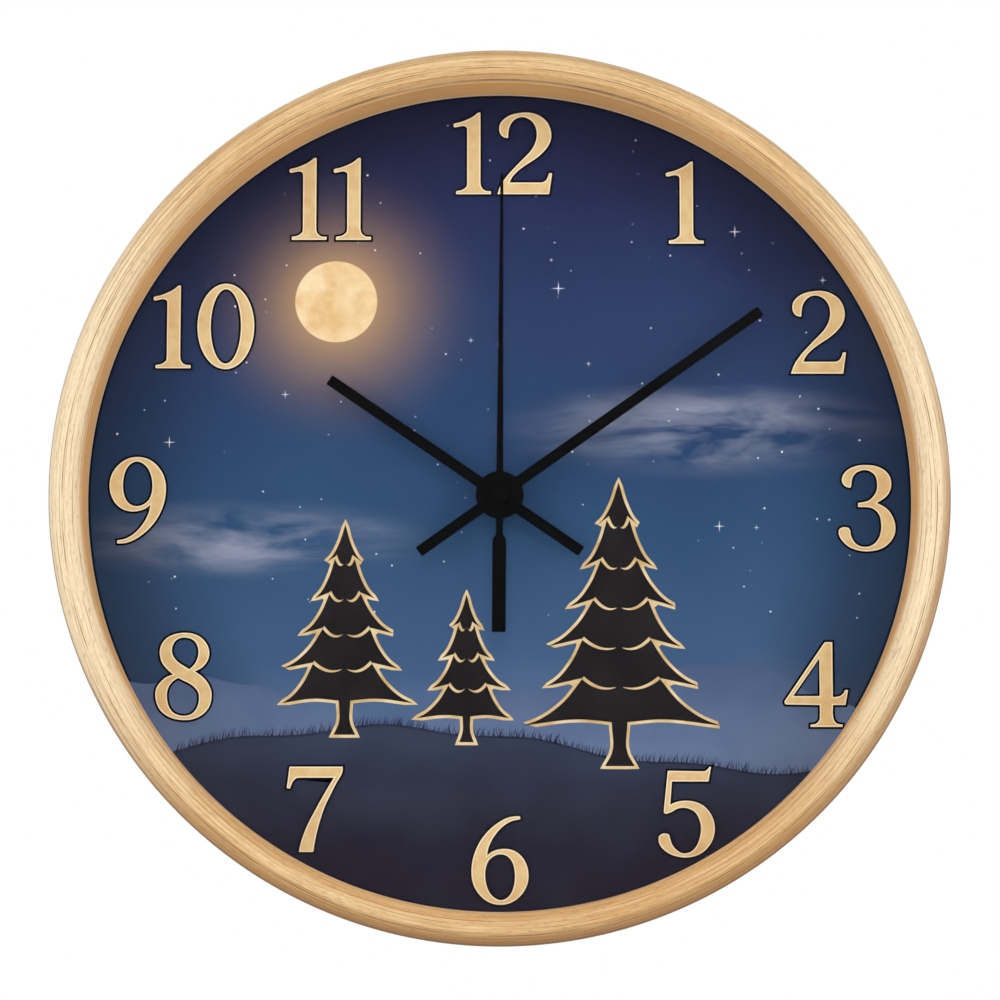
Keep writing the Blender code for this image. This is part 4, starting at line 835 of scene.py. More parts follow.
def pressed_board(fittings):
    """Pressed fibreboard: short pale and dark fibres in every direction."""
    material, tree = new_material("pressed_fibreboard")
    where = add(tree, "ShaderNodeTexCoord").outputs["Object"]
    # Fibres are about 0.8 mm long and gather in clots of about 9 mm.
    fibres = add(tree, "ShaderNodeTexNoise", {"Vector": where, "Scale": 1 / 0.0008, "Detail": 5.0})
    clots = add(tree, "ShaderNodeTexNoise", {"Vector": where, "Scale": 110.0, "Detail": 3.0})
    share = add(tree, "ShaderNodeMath", {0: fibres, 1: clots}, operation="MULTIPLY")
    share = add(tree, "ShaderNodeMapRange", {0: share, 1: 0.14, 2: 0.40})
    skin = add(tree, "ShaderNodeMix", {0: share, 6: linear("8F7652"), 7: fittings.fibre}, data_type="RGBA")
    bump = add(tree, "ShaderNodeBump", {"Height": fibres, "Strength": 0.4, "Distance": 0.00008})
    surface = add(
        tree,
        "ShaderNodeBsdfPrincipled",
        {"Base Color": skin.outputs[2], "Roughness": 0.85, "Normal": bump, "Specular IOR Level": 0.2},
    )
    add(tree, "ShaderNodeOutputMaterial", {"Surface": surface})
    return material


# Half the width of a turned line, and the room between the lens and the lip, in metres.
GROOVE_WIDTH = 0.00016
LENS_SLACK = 0.0003


def beech_section(wood):
    """Section of the frame as (radius, out) points: back, outer wall, full nose with turned lines, lip."""
    middle = (wood.lip_radius + OUTER_RADIUS) / 2
    half = (OUTER_RADIUS - wood.lip_radius) / 2
    widest = FRAME_FRONT - wood.nose_depth
    points = [(OUTER_RADIUS - wood.chamfer, 0.0), (OUTER_RADIUS, wood.chamfer)]
    points += [(OUTER_RADIUS, wood.chamfer + (widest - wood.chamfer) * i / 6) for i in range(1, 6)]
    # The nose is a quarter of an ellipse on each side of its middle.
    outwards = [pi / 2 * i / 44 for i in range(45)]
    inwards = [pi / 2 * i / 32 for i in range(1, 33)]
    nose = [(middle + half * cos(a), widest + wood.nose_depth * sin(a)) for a in outwards]
    nose += [(middle - half * sin(a), FRAME_FRONT - wood.lip_round * (1 - cos(a))) for a in inwards]
    for radius, out in nose:
        layer = (radius - OUTER_RADIUS) / wood.veneer + 0.5
        away = abs(layer - round(layer)) * wood.veneer
        points.append((radius, out - wood.groove * exp(-((away / GROOVE_WIDTH) ** 2))))
    rebate = OUTER_RADIUS - wood.wall_inset
    lip_back = -LENS_LOW.y + LENS_SLACK
    points += [(wood.lip_radius, lip_back), (rebate, lip_back), (rebate, 0.0)]
    return points


class CLOCK_OT_frame(bpy.types.Operator):
    """Turn the wooden frame and the inner wall behind its lip"""

    bl_idname = "clock.frame"
    bl_label = "Frame and liner"

    def execute(self, context):
        wood = context.scene.clock.wood
        ring = turned("frame_wood", beech_section(wood), 360)
        make_piece("frame_wood", ring, "housing", "frame_wood", beech_veneer(wood), "frame_ring")
        back, front = -LINER_HIGH.y, -LINER_LOW.y
        chamfer = 0.0002
        section = [
            (wood.lip_radius, back),
            (INNER_RADIUS, back),
            (INNER_RADIUS, front),
            (wood.lip_radius + chamfer, front),
            (wood.lip_radius, front - chamfer),
        ]
        wall = turned("liner_wood", section, 360)
        make_piece("liner_wood", wall, "housing", "liner_wood", stained_liner(wood), "liner_ring")
        return {"FINISHED"}


class CLOCK_OT_lens(bpy.types.Operator):
    """Make the clear lens and its frosted margin, whose pale tan is painted light"""

    bl_idname = "clock.lens"
    bl_label = "Lens"

    def execute(self, context):
        wood = context.scene.clock.wood
        back, front = -LENS_HIGH.y, -LENS_LOW.y
        # The clear part ends just behind the lip.
        clear = wood.lip_radius + 0.00008
        disc = [(0, back), (clear, back), (clear, front), (0, front)]
        sheet = turned("lens_sheet", disc, 192)
        make_piece("lens_sheet", sheet, "housing", "clear_acrylic", cast_acrylic(), "lens")
        # The margin held by the frame is frosted and bears on the lip; its pale tan is painted light that
        # brightens the shade behind the lip.
        inner = clear + 0.00002
        edge = 0.0002
        bearing = front + 0.00025
        margin = [
            (inner, back),
            (INNER_RADIUS - edge, back),
            (INNER_RADIUS, back + edge),
            (INNER_RADIUS, bearing - edge),
            (INNER_RADIUS - edge, bearing),
            (inner, bearing),
        ]
        frosted = plain_finish("frosted_acrylic_painted_light", linear("FBD3A2"), linear("F4CC9A"), 0.0006, 0.75)
        make_piece("lens_margin", turned("lens_margin", margin, 192), "housing", "clear_acrylic", frosted)
        return {"FINISHED"}


def hill_top(x):
    """Height of the near hill above the middle of the dial."""
    return -0.0715 + 0.0062 * cos((x + 0.034) / 0.036) + 0.0009 * sin(x / 0.0071)


def far_top(x):
    """Height of the distant ridge above the middle of the dial."""
    return (
        -0.0560
        + 0.0068 * sin((x - 0.012) / 0.0265)
        + 0.0030 * sin((x + 0.020) / 0.0112)
        + 0.0008 * sin(x / 0.0037)
    )


def land(top, radius, steps=160):
    """Outline of land from a skyline down to the rim of the dial."""
    skyline = []
    for step in range(steps + 1):
        x = radius * (2 * step / steps - 1)
        if abs(top(x)) < sqrt(max(radius * radius - x * x, 0)):
            skyline.append((x, top(x)))
    start = atan2(skyline[0][1], skyline[0][0])
    end = atan2(skyline[-1][1], skyline[-1][0])
    arc = [end + (start - end) * i / steps for i in range(1, steps)]
    return skyline, skyline + [(radius * cos(a), radius * sin(a)) for a in arc]


def area_of(points):
    """Signed area of a closed outline, positive when it runs anticlockwise."""
    return sum(a[0] * b[1] - b[0] * a[1] for a, b in zip(points, points[1:] + points[:1])) / 2


def unit(a, b):
    """Direction from one point to another, and their distance."""
    size = hypot(b[0] - a[0], b[1] - a[1]) or 1e-12
    return ((b[0] - a[0]) / size, (b[1] - a[1]) / size), size


def rounded(points, straight, corner=40, steps=4):
    """Smooth closed outline through points; sharp turns stay, and so do sides longer than straight."""
    count = len(points)
    ends = []
    for i, here in enumerate(points):
        into, first = unit(points[i - 1], here)
        away, second = unit(here, points[(i + 1) % count])
        if into[0] * away[0] + into[1] * away[1] < cos(radians(corner)):
            ends.append((into, away))
        elif first >= straight > second:
            ends.append((into, into))
        elif second >= straight > first:
            ends.append((away, away))
        else:
            blend = (into[0] * second + away[0] * first, into[1] * second + away[1] * first)
            blend = unit((0, 0), blend)[0]
            ends.append((blend, blend))
    result = []
    for i, here in enumerate(points):
        after = points[(i + 1) % count]
        reach = unit(here, after)[1]
        result.append(here)
        if reach >= straight:
            continue
        leave, arrive = ends[i][1], ends[(i + 1) % count][0]
        b = (here[0] + leave[0] * reach / 3, here[1] + leave[1] * reach / 3)
        c = (after[0] - arrive[0] * reach / 3, after[1] - arrive[1] * reach / 3)
        for step in range(1, steps):
            t = step / steps
            s = 1 - t
            parts = ((s**3, here), (3 * s * s * t, b), (3 * s * t * t, c), (t**3, after))
            result.append(tuple(sum(w * p[axis] for w, p in parts) for axis in (0, 1)))
    return result


def spread(points, distance, hole=False):
    """Outline moved outwards from the inked side by a distance, or inwards when it is negative."""
    if (area_of(points) > 0) == hole:
        points = points[::-1]
    count = len(points)
    result = []
    for i, here in enumerate(points):
        into = unit(points[i - 1], here)[0]
        away = unit(here, points[(i + 1) % count])[0]
        normal = (into[1] + away[1], -into[0] - away[0])
        size = hypot(*normal)
        if size < 0.3:
            normal, size = (into[1], -into[0]), 1.0
            reach = distance
        else:
            reach = distance / max(size / 2, 0.55)
        result.append((here[0] + normal[0] / size * reach, here[1] + normal[1] / size * reach))
    return result


def clear_of(outline, points, distance):
    """The points that keep at least a distance from an outline, so that no small loop is left in a notch."""
    kept = []
    for x, up in points:
        nearest = 1.0
        for (ax, ay), (bx, by) in zip(outline, outline[1:] + outline[:1]):
            dx, dy = bx - ax, by - ay
            along = ((x - ax) * dx + (up - ay) * dy) / max(dx * dx + dy * dy, 1e-18)
            along = min(max(along, 0.0), 1.0)
            nearest = min(nearest, hypot(x - ax - along * dx, up - ay - along * dy))
        if nearest >= distance:
            kept.append((x, up))
    return kept


# Distance between the fronts of two printed layers, in metres.
LAYER_STEP = 0.00002


def layer_at(dial, number):
    """Back and front of a printed layer, counted outwards from the dial board."""
    front = DIAL_FRONT + LAYER_STEP * number + dial.layer
    return front - dial.layer, front


class CLOCK_OT_dial(bpy.types.Operator):
    """Finish the dial board and lay the printed sky on it"""

    bl_idname = "clock.dial"
    bl_label = "Dial"

    def execute(self, context):
        settings = context.scene.clock
        dress(pressed_board(settings.fittings), "dial_board")
        # The sheet ends 0.2 mm inside the rim of the board, hidden by the liner.
        rim = circle(INNER_RADIUS - 0.0002, 256)
        shaft_hole = circle(0.0045, 64, up=SHAFT - MIDDLE)
        sheet = flat_mesh("dial_print", [rim, shaft_hole], DIAL_FRONT, layer_at(settings.dial, 0)[1])
        print_piece("dial_print", sheet, printed_sky(settings.dial))
        return {"FINISHED"}


def new_tree(name, **sizes):
    """Geometry node tree with a mesh going in and out and a named input for each of its sizes."""
    tree = bpy.data.node_groups.new(name, "GeometryNodeTree")
    tree.interface.new_socket("Geometry", in_out="OUTPUT", socket_type="NodeSocketGeometry")
    tree.interface.new_socket("Geometry", in_out="INPUT", socket_type="NodeSocketGeometry")
    for label, kind in sizes.items():
        tree.interface.new_socket(label, in_out="INPUT", socket_type=kind)
    return tree, add(tree, "NodeGroupInput")


def close_tree(tree, last, material):
    """End a tree in realized instances that carry a material."""
    real = add(tree, "GeometryNodeRealizeInstances", {"Geometry": last})
    painted = add(tree, "GeometryNodeSetMaterial", {"Geometry": real, "Material": material})
    add(tree, "NodeGroupOutput", {"Geometry": painted})


def from_tree(name, mesh, tree, **values):
    """Plain mesh that a tree makes from a mesh and values for its named inputs."""
    holder = bpy.data.objects.new(name, mesh)
    bpy.context.scene.collection.objects.link(holder)
    modifier = holder.modifiers.new(name, "NODES")
    modifier.node_group = tree
    for item in tree.interface.items_tree:
        if item.in_out == "INPUT" and item.name in values:
            modifier[item.identifier] = values[item.name]
    result = evaluated(holder)
    bpy.data.meshes.remove(mesh)
    return result


def grass_tree(material):
    """Blades of grass along a line: tapered, leaning and of uneven height."""
    tree, entry = new_tree("grass_fringe", Blades="NodeSocketInt", Height="NodeSocketFloat")
    line = add(tree, "GeometryNodeMeshToCurve", {"Mesh": entry.outputs["Geometry"]})
    points = add(tree, "GeometryNodeCurveToPoints", {"Curve": line, "Count": entry.outputs["Blades"]})
    blade = add(
        tree,
        "GeometryNodeMeshGrid",
        {"Size X": 1.0, "Size Y": 1.0, "Vertices X": 2, "Vertices Y": 5},
    )
    axes = add(tree, "ShaderNodeSeparateXYZ", {0: add(tree, "GeometryNodeInputPosition")})
    rise = add(tree, "ShaderNodeMath", {0: axes.outputs["Y"], 1: 0.5}, operation="ADD")
    taper = add(tree, "ShaderNodeMath", {0: 1.0, 1: rise}, operation="SUBTRACT")
    width = add(tree, "ShaderNodeMath", {0: axes.outputs["X"], 1: taper}, operation="MULTIPLY")
    width = add(tree, "ShaderNodeMath", {0: width, 1: 0.085}, operation="MULTIPLY")
    lean = add(tree, "ShaderNodeMath", {0: rise, 1: 2.0}, operation="POWER")
    lean = add(tree, "ShaderNodeMath", {0: lean, 1: 0.22, 2: width}, operation="MULTIPLY_ADD")
    shape = add(tree, "ShaderNodeCombineXYZ", {"X": lean, "Z": rise})
    blade = add(tree, "GeometryNodeSetPosition", {"Geometry": blade, "Position": shape})
    tilt = add(
        tree,
        "FunctionNodeRandomValue",
        {"Min": (0, -0.55, 0), "Max": (0, 0.45, 0), "Seed": 4},
        data_type="FLOAT_VECTOR",
    )
    tall = add(tree, "FunctionNodeRandomValue", {2: 0.45, 3: 1.15, "Seed": 9}, data_type="FLOAT")
    tall = add(
        tree, "ShaderNodeMath", {0: tall.outputs[1], 1: entry.outputs["Height"]}, operation="MULTIPLY"
    )
    blades = add(
        tree,
        "GeometryNodeInstanceOnPoints",
        {"Points": points, "Instance": blade, "Rotation": tilt, "Scale": tall},
    )
    close_tree(tree, blades, material)
    return tree


def conifer(x, base, height, reach, tiers):
    """Outline of a conifer, its lines under each tier of branches, and its trunk."""
    sides = []
    lines = []
    for side in (1, -1):
        points = []
        for tier in range(1, tiers + 1):
            share = tier / tiers
            sag = 1 + 0.10 * sin(2.3 * tier + side)
            width = reach * share**0.85 * sag
            up = base + height * (1 - 0.88 * share**0.96)
            before = points[-1] if points else (0.0, base + height)
            points.append((before[0] + (width - before[0]) * 0.34, before[1] + (up - before[1]) * 0.52))
            points.append((before[0] + (width - before[0]) * 0.72, before[1] + (up - before[1]) * 0.86))
            points.append((width, up))
            if tier < tiers:
                notch = (width * 0.50, up + height * 0.030)
                points.append(notch)
                lines.append([(side * notch[0], notch[1]), (side * width * 0.05, up - height * 0.004)])
        points += [(reach * 0.42, up + height * 0.022), (reach * 0.085, up + height * 0.012)]
        points += [(reach * 0.085, base + height * 0.02), (reach * 0.16, base - 0.002)]
        sides.append([(x + side * px, py) for px, py in points])
    outline = [(x, base + height)] + sides[0] + sides[1][::-1]
    return outline, [[(x + a[0], a[1]), (x + b[0], b[1])] for a, b in lines]


def stroke(start, end, sag, width, steps=10):
    """Outline of a line that sags and thins out from its start to its end."""
    left, right = [], []
    heading = unit(start, end)[0]
    for i in range(steps + 1):
        t = i / steps
        x = start[0] + (end[0] - start[0]) * t
        up = start[1] + (end[1] - start[1]) * t - sag * 4 * t * (1 - t)
        half = width / 2 * (1 - t) ** 0.6 + width * 0.08
        left.append((x - heading[1] * half, up + heading[0] * half))
        right.append((x + heading[1] * half, up - heading[0] * half))
    return left + right[::-1]


# Conifers as (across, height, reach of the lowest branches, tiers), in metres.
CONIFERS = (
    (-0.044, 0.0580, 0.0195, 5),
    (-0.0094, 0.0400, 0.0130, 4),
    (0.034, 0.0790, 0.0265, 6),
)
RIM_WIDTH = 0.00085
VEIN_SAG = 0.0014
VEIN_WIDTH = 0.0009


class CLOCK_OT_landscape(bpy.types.Operator):
    """Print the moon, ridge, hill, grass and trees"""

    bl_idname = "clock.landscape"
    bl_label = "Printed landscape"

    def execute(self, context):
        dial = context.scene.clock.dial
        # The shapes end behind the liner too, a little inside the sheet.
        radius = INNER_RADIUS - 0.0008
        moon = circle(dial.moon_radius, 96, dial.moon_x, dial.moon_z)
        moon_ink = ink("moon_print", dial.moon, dial.moon_shade, 0.0065)
        print_piece("print_moon", flat_mesh("print_moon", [moon], *layer_at(dial, 1)), moon_ink)
        ridge = flat_mesh("print_ridge", [land(far_top, radius)[1]], *layer_at(dial, 2))
        ridge_ink = ink("ridge_print", dial.haze, dial.ridge, 0.012, fall=(-0.072, -0.048))
        print_piece("print_ridge", ridge, ridge_ink)
        skyline, outline = land(hill_top, radius)
        hill = flat_mesh("print_hill", [outline], *layer_at(dial, 3))
        hill_ink = ink("hill_print", dial.ground_deep, dial.ground, 0.014, fall=(-0.100, -0.066))
        print_piece("print_hill", hill, hill_ink)
        # The grass stands 0.6 mm deep in the hill and stops 4 mm short of the edge of the print.
        front = layer_at(dial, 4)[1]
        inside = [(x, up) for x, up in skyline if hypot(x, up + 0.004) < radius - 0.004]
        line = bpy.data.meshes.new("grass_line")
        line.from_pydata(
            [(x, -front, MIDDLE + up - 0.0006) for x, up in inside],
            [(i, i + 1) for i in range(len(inside) - 1)],
            [],
        )
        grass_ink = ink("grass_print", dial.grass, linear("23263A"), 0.004)
        blades = from_tree(
            "print_grass", line, grass_tree(grass_ink), Blades=dial.blades, Height=dial.blade_height
        )
        print_piece("print_grass", blades, grass_ink)
        trees, rims, veins = [], [], []
        for x, height, reach, tiers in CONIFERS:
            points, lines = conifer(x, hill_top(x), height, reach, tiers)
            shape = rounded(points, 1.0, corner=50, steps=5)
            rim = clear_of(shape, spread(shape, RIM_WIDTH), RIM_WIDTH - 0.00003)
            trees.append(flat_mesh("tree", [shape], *layer_at(dial, 6)))
            rims.append(flat_mesh("rim", [rim], *layer_at(dial, 5)))
            for start, end in lines:
                vein = stroke(start, end, VEIN_SAG, VEIN_WIDTH)
                veins.append(flat_mesh("vein", [vein], *layer_at(dial, 7)))
        tree_ink = ink("tree_print", dial.tree, linear("262326"), 0.01)
        rim_ink = ink("rim_light_print", dial.rim, linear("C9A871"), 0.006)
        for name, parts, material in (
            ("print_trees", trees, tree_ink),
            ("print_rims", rims, rim_ink),
            ("print_veins", veins, rim_ink),
        ):
            print_piece(name, joined(name, parts), material)
        return {"FINISHED"}


def star_tree(material, waist, seed):
    """Four-cornered stars scattered over a patch of sky; their waist says how far the sides are drawn in."""
    tree, entry = new_tree(
        "scattered_stars",
        Density="NodeSocketFloat",
        Size="NodeSocketFloat",
        Clear="NodeSocketFloat",
        Centre="NodeSocketVector",
    )
    spots = add(
        tree,
        "GeometryNodeDistributePointsOnFaces",
        {"Mesh": entry.outputs["Geometry"], "Density": entry.outputs["Density"], "Seed": seed},
    )
    star = add(
        tree,
        "GeometryNodeMeshCircle",
        {"Vertices": 8, "Radius": 1.0},
        fill_type="TRIANGLE_FAN",
    )
    order = add(tree, "ShaderNodeMath", {0: add(tree, "GeometryNodeInputIndex"), 1: 2.0}, operation="MODULO")
    pull = add(tree, "ShaderNodeMapRange", {0: order, 3: 1.0, 4: waist})
    axes = add(tree, "ShaderNodeSeparateXYZ", {0: add(tree, "GeometryNodeInputPosition")})
    stood = add(tree, "ShaderNodeCombineXYZ", {"X": axes.outputs["X"], "Z": axes.outputs["Y"]})
    shape = add(tree, "ShaderNodeVectorMath", {0: stood, "Scale": pull}, operation="SCALE")
    star = add(tree, "GeometryNodeSetPosition", {"Geometry": star, "Position": shape})
    size = add(tree, "FunctionNodeRandomValue", {2: 0.35, 3: 1.0, "Seed": seed + 1}, data_type="FLOAT")
    size = add(tree, "ShaderNodeMath", {0: size.outputs[1], 1: entry.outputs["Size"]}, operation="MULTIPLY")
    away = add(
        tree,
        "ShaderNodeVectorMath",
        {0: add(tree, "GeometryNodeInputPosition"), 1: entry.outputs["Centre"]},
        operation="DISTANCE",
    )
    clear = add(
        tree,
        "ShaderNodeMath",
        {0: away.outputs["Value"], 1: entry.outputs["Clear"]},
        operation="GREATER_THAN",
    )
    stars = add(
        tree,
        "GeometryNodeInstanceOnPoints",
        {"Points": spots, "Selection": clear, "Instance": star, "Scale": size},
    )
    close_tree(tree, stars, material)
    return tree


class CLOCK_OT_stars(bpy.types.Operator):
    """Scatter printed stars over the sky"""

    bl_idname = "clock.stars"
    bl_label = "Stars"

    def execute(self, context):
        dial = context.scene.clock.dial
        star_ink = ink("star_print", dial.star, linear("E4E4E8"), 0.003)
        # The starry patch is the part of this circle above the horizon.
        sky_radius = 0.113
        horizon = -0.036
        low = asin(horizon / sky_radius)
        arc = [low + (pi - 2 * low) * i / 60 for i in range(61)]
        for name, waist, seed, count, size, number in (
            ("print_stars", 0.92, 11, dial.stars, dial.star_radius, 1),
            ("print_sparkles", 0.13, 23, dial.sparkles, dial.sparkle, 2),
        ):
            y = -layer_at(dial, number)[1]
            corners = [(sky_radius * cos(a), y, MIDDLE + sky_radius * sin(a)) for a in arc]
            patch = bpy.data.meshes.new(name)
            patch.from_pydata(corners, [], [list(range(61))])
            area = sum(polygon.area for polygon in patch.polygons)
            stars = from_tree(
                name,
                patch,
                star_tree(star_ink, waist, seed),
                Density=count / area,
                Size=size,
                Clear=dial.moon_radius * 1.5,
                Centre=(dial.moon_x, y, MIDDLE + dial.moon_z),
            )
            print_piece(name, stars, star_ink)
        return {"FINISHED"}


# Outlines of the serif digits in hundredths of a millimetre, from the left edge and the baseline.
DIGITS = {
    "1": [
        [(784, 2400), (784, 335), (841, 163), (937, 96), (1086, 86), (1086, 0), (86, 0), (86, 86),
         (268, 124), (392, 220), (405, 335), (405, 1922), (363, 1990), (306, 2008), (172, 1994), (50, 1965),
         (8, 1995), (10, 2060), (60, 2082), (177, 2108), (359, 2175), (542, 2262), (640, 2330), (726, 2400)],
    ],
    "2": [
        [(306, 1654), (163, 1692), (67, 1826), (57, 1960), (96, 2094), (220, 2228), (354, 2314),
         (545, 2371), (755, 2400), (1023, 2381), (1214, 2304), (1406, 2151), (1520, 1941),
         (1555, 1750), (1530, 1558), (1444, 1386), (1310, 1224), (1138, 1071), (927, 927), (717, 784),
         (545, 641), (430, 507), (344, 340), (1253, 338), (1367, 373), (1463, 507), (1492, 612),
         (1578, 612), (1492, 0), (0, 0), (105, 277), (220, 449), (354, 621), (507, 784), (679, 966),
         (832, 1119), (966, 1272), (1071, 1444), (1128, 1616), (1142, 1769), (1128, 1903),
         (1080, 2037), (985, 2161), (870, 2237), (717, 2276), (545, 2228), (430, 2132), (354, 1998),
         (316, 1826)],
    ],
    "3": [
        [(344, 1826), (210, 1864), (124, 1970), (109, 2084), (163, 2218), (287, 2343), (459, 2429),
         (650, 2471), (822, 2476), (1033, 2457), (1224, 2390), (1396, 2266), (1492, 2103),
         (1515, 1931), (1482, 1759), (1396, 1606), (1262, 1492), (1090, 1386), (1262, 1300),
         (1415, 1186), (1530, 1013), (1597, 841), (1616, 669), (1587, 478), (1492, 306), (1339, 153),
         (1128, 48), (899, 6), (708, 4), (478, 48), (287, 134), (115, 287), (29, 421), (0, 535),
         (19, 631), (96, 679), (210, 688), (287, 669), (325, 593), (344, 459), (402, 325), (516, 191),
         (650, 134), (784, 124), (937, 163), (1071, 268), (1166, 421), (1214, 612), (1214, 841),
         (1186, 994), (1109, 1128), (994, 1224), (880, 1262), (746, 1272), (564, 1272), (564, 1386),
         (746, 1415), (899, 1472), (1013, 1587), (1090, 1721), (1119, 1893), (1109, 2027),
         (1071, 2161), (975, 2266), (861, 2323), (765, 2337), (631, 2314), (516, 2256), (421, 2142),
         (382, 1989), (363, 1855)],
    ],
    "4": [
        [(1157, 2404), (1367, 2404), (1367, 841), (1472, 847), (1587, 880), (1683, 966), (1717, 1042),
         (1798, 1042), (1721, 621), (1367, 621), (1367, 296), (1396, 182), (1492, 86), (1635, 63),
         (1635, 0), (727, 0), (727, 57), (880, 86), (985, 201), (998, 335), (998, 621), (29, 637),
         (0, 688), (0, 727)],
        [(239, 870), (998, 870), (998, 1951)],
    ],
    "5": [
        [(273, 2436), (1290, 2420), (1388, 2469), (1446, 2547), (1495, 2547), (1417, 2138),
         (384, 2138), (331, 1475), (452, 1534), (589, 1573), (803, 1592), (1017, 1563), (1232, 1475),
         (1407, 1319), (1524, 1124), (1582, 910), (1586, 754), (1543, 540), (1427, 325), (1251, 150),
         (1037, 43), (803, 0), (589, 14), (374, 72), (179, 189), (43, 345), (0, 501), (23, 598),
         (101, 657), (218, 666), (296, 637), (335, 481), (413, 306), (530, 189), (647, 121),
         (764, 111), (920, 160), (1037, 267), (1134, 442), (1189, 657), (1202, 871), (1163, 1047),
         (1095, 1202), (978, 1319), (842, 1378), (705, 1397), (530, 1368), (374, 1280), (218, 1222),
         (150, 1261)],
    ],
    "6": [
        [(1367, 2480), (1195, 2476), (1023, 2438), (794, 2323), (564, 2151), (354, 1931), (182, 1664),
         (67, 1377), (10, 1109), (0, 918), (19, 708), (96, 478), (239, 268), (430, 105), (641, 19),
         (832, 0), (1061, 38), (1272, 153), (1444, 325), (1558, 535), (1606, 765), (1587, 994),
         (1520, 1186), (1406, 1358), (1253, 1482), (1080, 1549), (908, 1564), (736, 1539), (583, 1482),
         (430, 1367), (469, 1568), (564, 1798), (717, 2027), (908, 2218), (1119, 2343), (1371, 2400)],
        [(794, 1415), (621, 1358), (488, 1243), (411, 1071), (382, 880), (392, 688), (449, 459),
         (545, 287), (679, 172), (813, 124), (966, 163), (1100, 287), (1186, 478), (1224, 688),
         (1224, 918), (1186, 1109), (1100, 1281), (966, 1386)],
    ],
    "7": [
        [(76, 2398), (1578, 2398), (1572, 2270), (1396, 1935), (1224, 1591), (1071, 1266), (956, 922),
         (861, 578), (803, 291), (755, 0), (354, 0), (421, 291), (535, 616), (688, 941), (899, 1342),
         (1128, 1744), (1339, 2092), (344, 2092), (268, 2073), (191, 2012), (115, 1859), (86, 1782),
         (0, 1798)],
    ],
    "8": [
        [(813, 2473), (1042, 2448), (1272, 2343), (1425, 2180), (1511, 1970), (1501, 1778),
         (1425, 1606), (1291, 1472), (1109, 1377), (1329, 1224), (1501, 1013), (1587, 784),
         (1587, 593), (1530, 382), (1386, 191), (1195, 67), (966, 4), (774, 0), (526, 38), (296, 143),
         (124, 306), (29, 516), (0, 708), (29, 899), (143, 1071), (296, 1205), (497, 1291),
         (316, 1453), (182, 1625), (124, 1817), (115, 1970), (163, 2142), (296, 2314), (488, 2419),
         (660, 2461)],
        [(832, 2343), (679, 2323), (545, 2237), (469, 2084), (459, 1912), (526, 1759), (679, 1606),
         (832, 1511), (956, 1434), (1080, 1549), (1176, 1721), (1214, 1912), (1195, 2065),
         (1119, 2218), (1004, 2304)],
        [(641, 1195), (488, 1090), (373, 937), (325, 746), (335, 555), (392, 363), (507, 210),
         (660, 134), (832, 115), (1004, 153), (1138, 268), (1214, 421), (1243, 612), (1224, 765),
         (1119, 918), (966, 1033), (774, 1128)],
    ],
}
DIGITS["9"] = [[(1608 - x, 2480 - up) for x, up in outline] for outline in DIGITS["6"]]

# Centres of the numerals from the middle of the dial, in metres.
NUMERALS = {
    "12": (0.0009, 0.1005),
    "1": (0.0534, 0.0860),
    "2": (0.0915, 0.0481),
    "3": (0.1048, -0.0028),
    "4": (0.0898, -0.0532),
    "5": (0.0528, -0.0893),
    "6": (0.0001, -0.1029),
    "7": (-0.0523, -0.0885),
    "8": (-0.0897, -0.0509),
    "9": (-0.1034, -0.0005),
    "10": (-0.0850, 0.0498),
    "11": (-0.0489, 0.0871),
}


# The nought is two ellipses with one centre, as (half width, half height) in the units of the digits.
NOUGHT_CENTRE = (814, 1214)
NOUGHT = ((814, 1242), (437, 1085))
UNITS_IN_A_METRE = 1e5


def numeral_outlines(text, letter_gap=190, straight=450):
    """Smooth outlines of a number as (outline, hole) pairs in metres, centred on its own box."""
    loops = []
    pen = 0
    for digit in text:
        if digit == "0":
            middle, centre = NOUGHT_CENTRE
            glyph = [
                [(middle + wide * x, centre + tall * up) for x, up in circle(1, 72)] for wide, tall in NOUGHT
            ]
        else:
            glyph = [rounded([tuple(p) for p in outline], straight) for outline in DIGITS[digit]]
        wide = max(x for outline in glyph for x, _ in outline)
        for number, outline in enumerate(glyph):
            loops.append(([(x + pen, up) for x, up in outline], number > 0))
        pen += wide + letter_gap
    xs = [x for outline, _ in loops for x, _ in outline]
    ups = [up for outline, _ in loops for _, up in outline]
    across, rise = (min(xs) + max(xs)) / 2, (min(ups) + max(ups)) / 2
    return [
        ([((x - across) / UNITS_IN_A_METRE, (up - rise) / UNITS_IN_A_METRE) for x, up in outline], hole)
        for outline, hole in loops
    ]


class CLOCK_OT_numerals(bpy.types.Operator):
    """Print the twelve numerals with a dark outline, a pale edge and a gold face"""

    bl_idname = "clock.numerals"
    bl_label = "Numerals"

    def execute(self, context):
        dial = context.scene.clock.dial
        line_ink = ink("numeral_outline_print", dial.numeral_line, linear("100E14"))
        edge_ink = ink("numeral_edge_print", dial.numeral_edge, linear("F6E6C4"), 0.005)
        gold_ink = ink("numeral_gold_print", dial.numeral, linear("DDB883"), 0.0035)
        # Each print reaches this far past the outline of the digits.
        for name, distance, number, material in (
            ("numeral_lines", 0.00062, 8, line_ink),
            ("numeral_edges", 0.00002, 9, edge_ink),
            ("numeral_faces", -0.00032, 10, gold_ink),
        ):
            parts = []
            for text, (x, up) in NUMERALS.items():
                outlines = [
                    [(px + x, py + up) for px, py in spread(outline, distance, hole)]
                    for outline, hole in numeral_outlines(text)
                ]
                parts.append(flat_mesh(name, outlines, *layer_at(dial, number)))
            print_piece(name, joined(name, parts), material)
        return {"FINISHED"}


def hub_arc(radius, start, end, steps):
    """Points of a hub between two angles."""
    angles = [start + (end - start) * i / steps for i in range(steps + 1)]
    return [(radius * cos(a), radius * sin(a)) for a in angles]


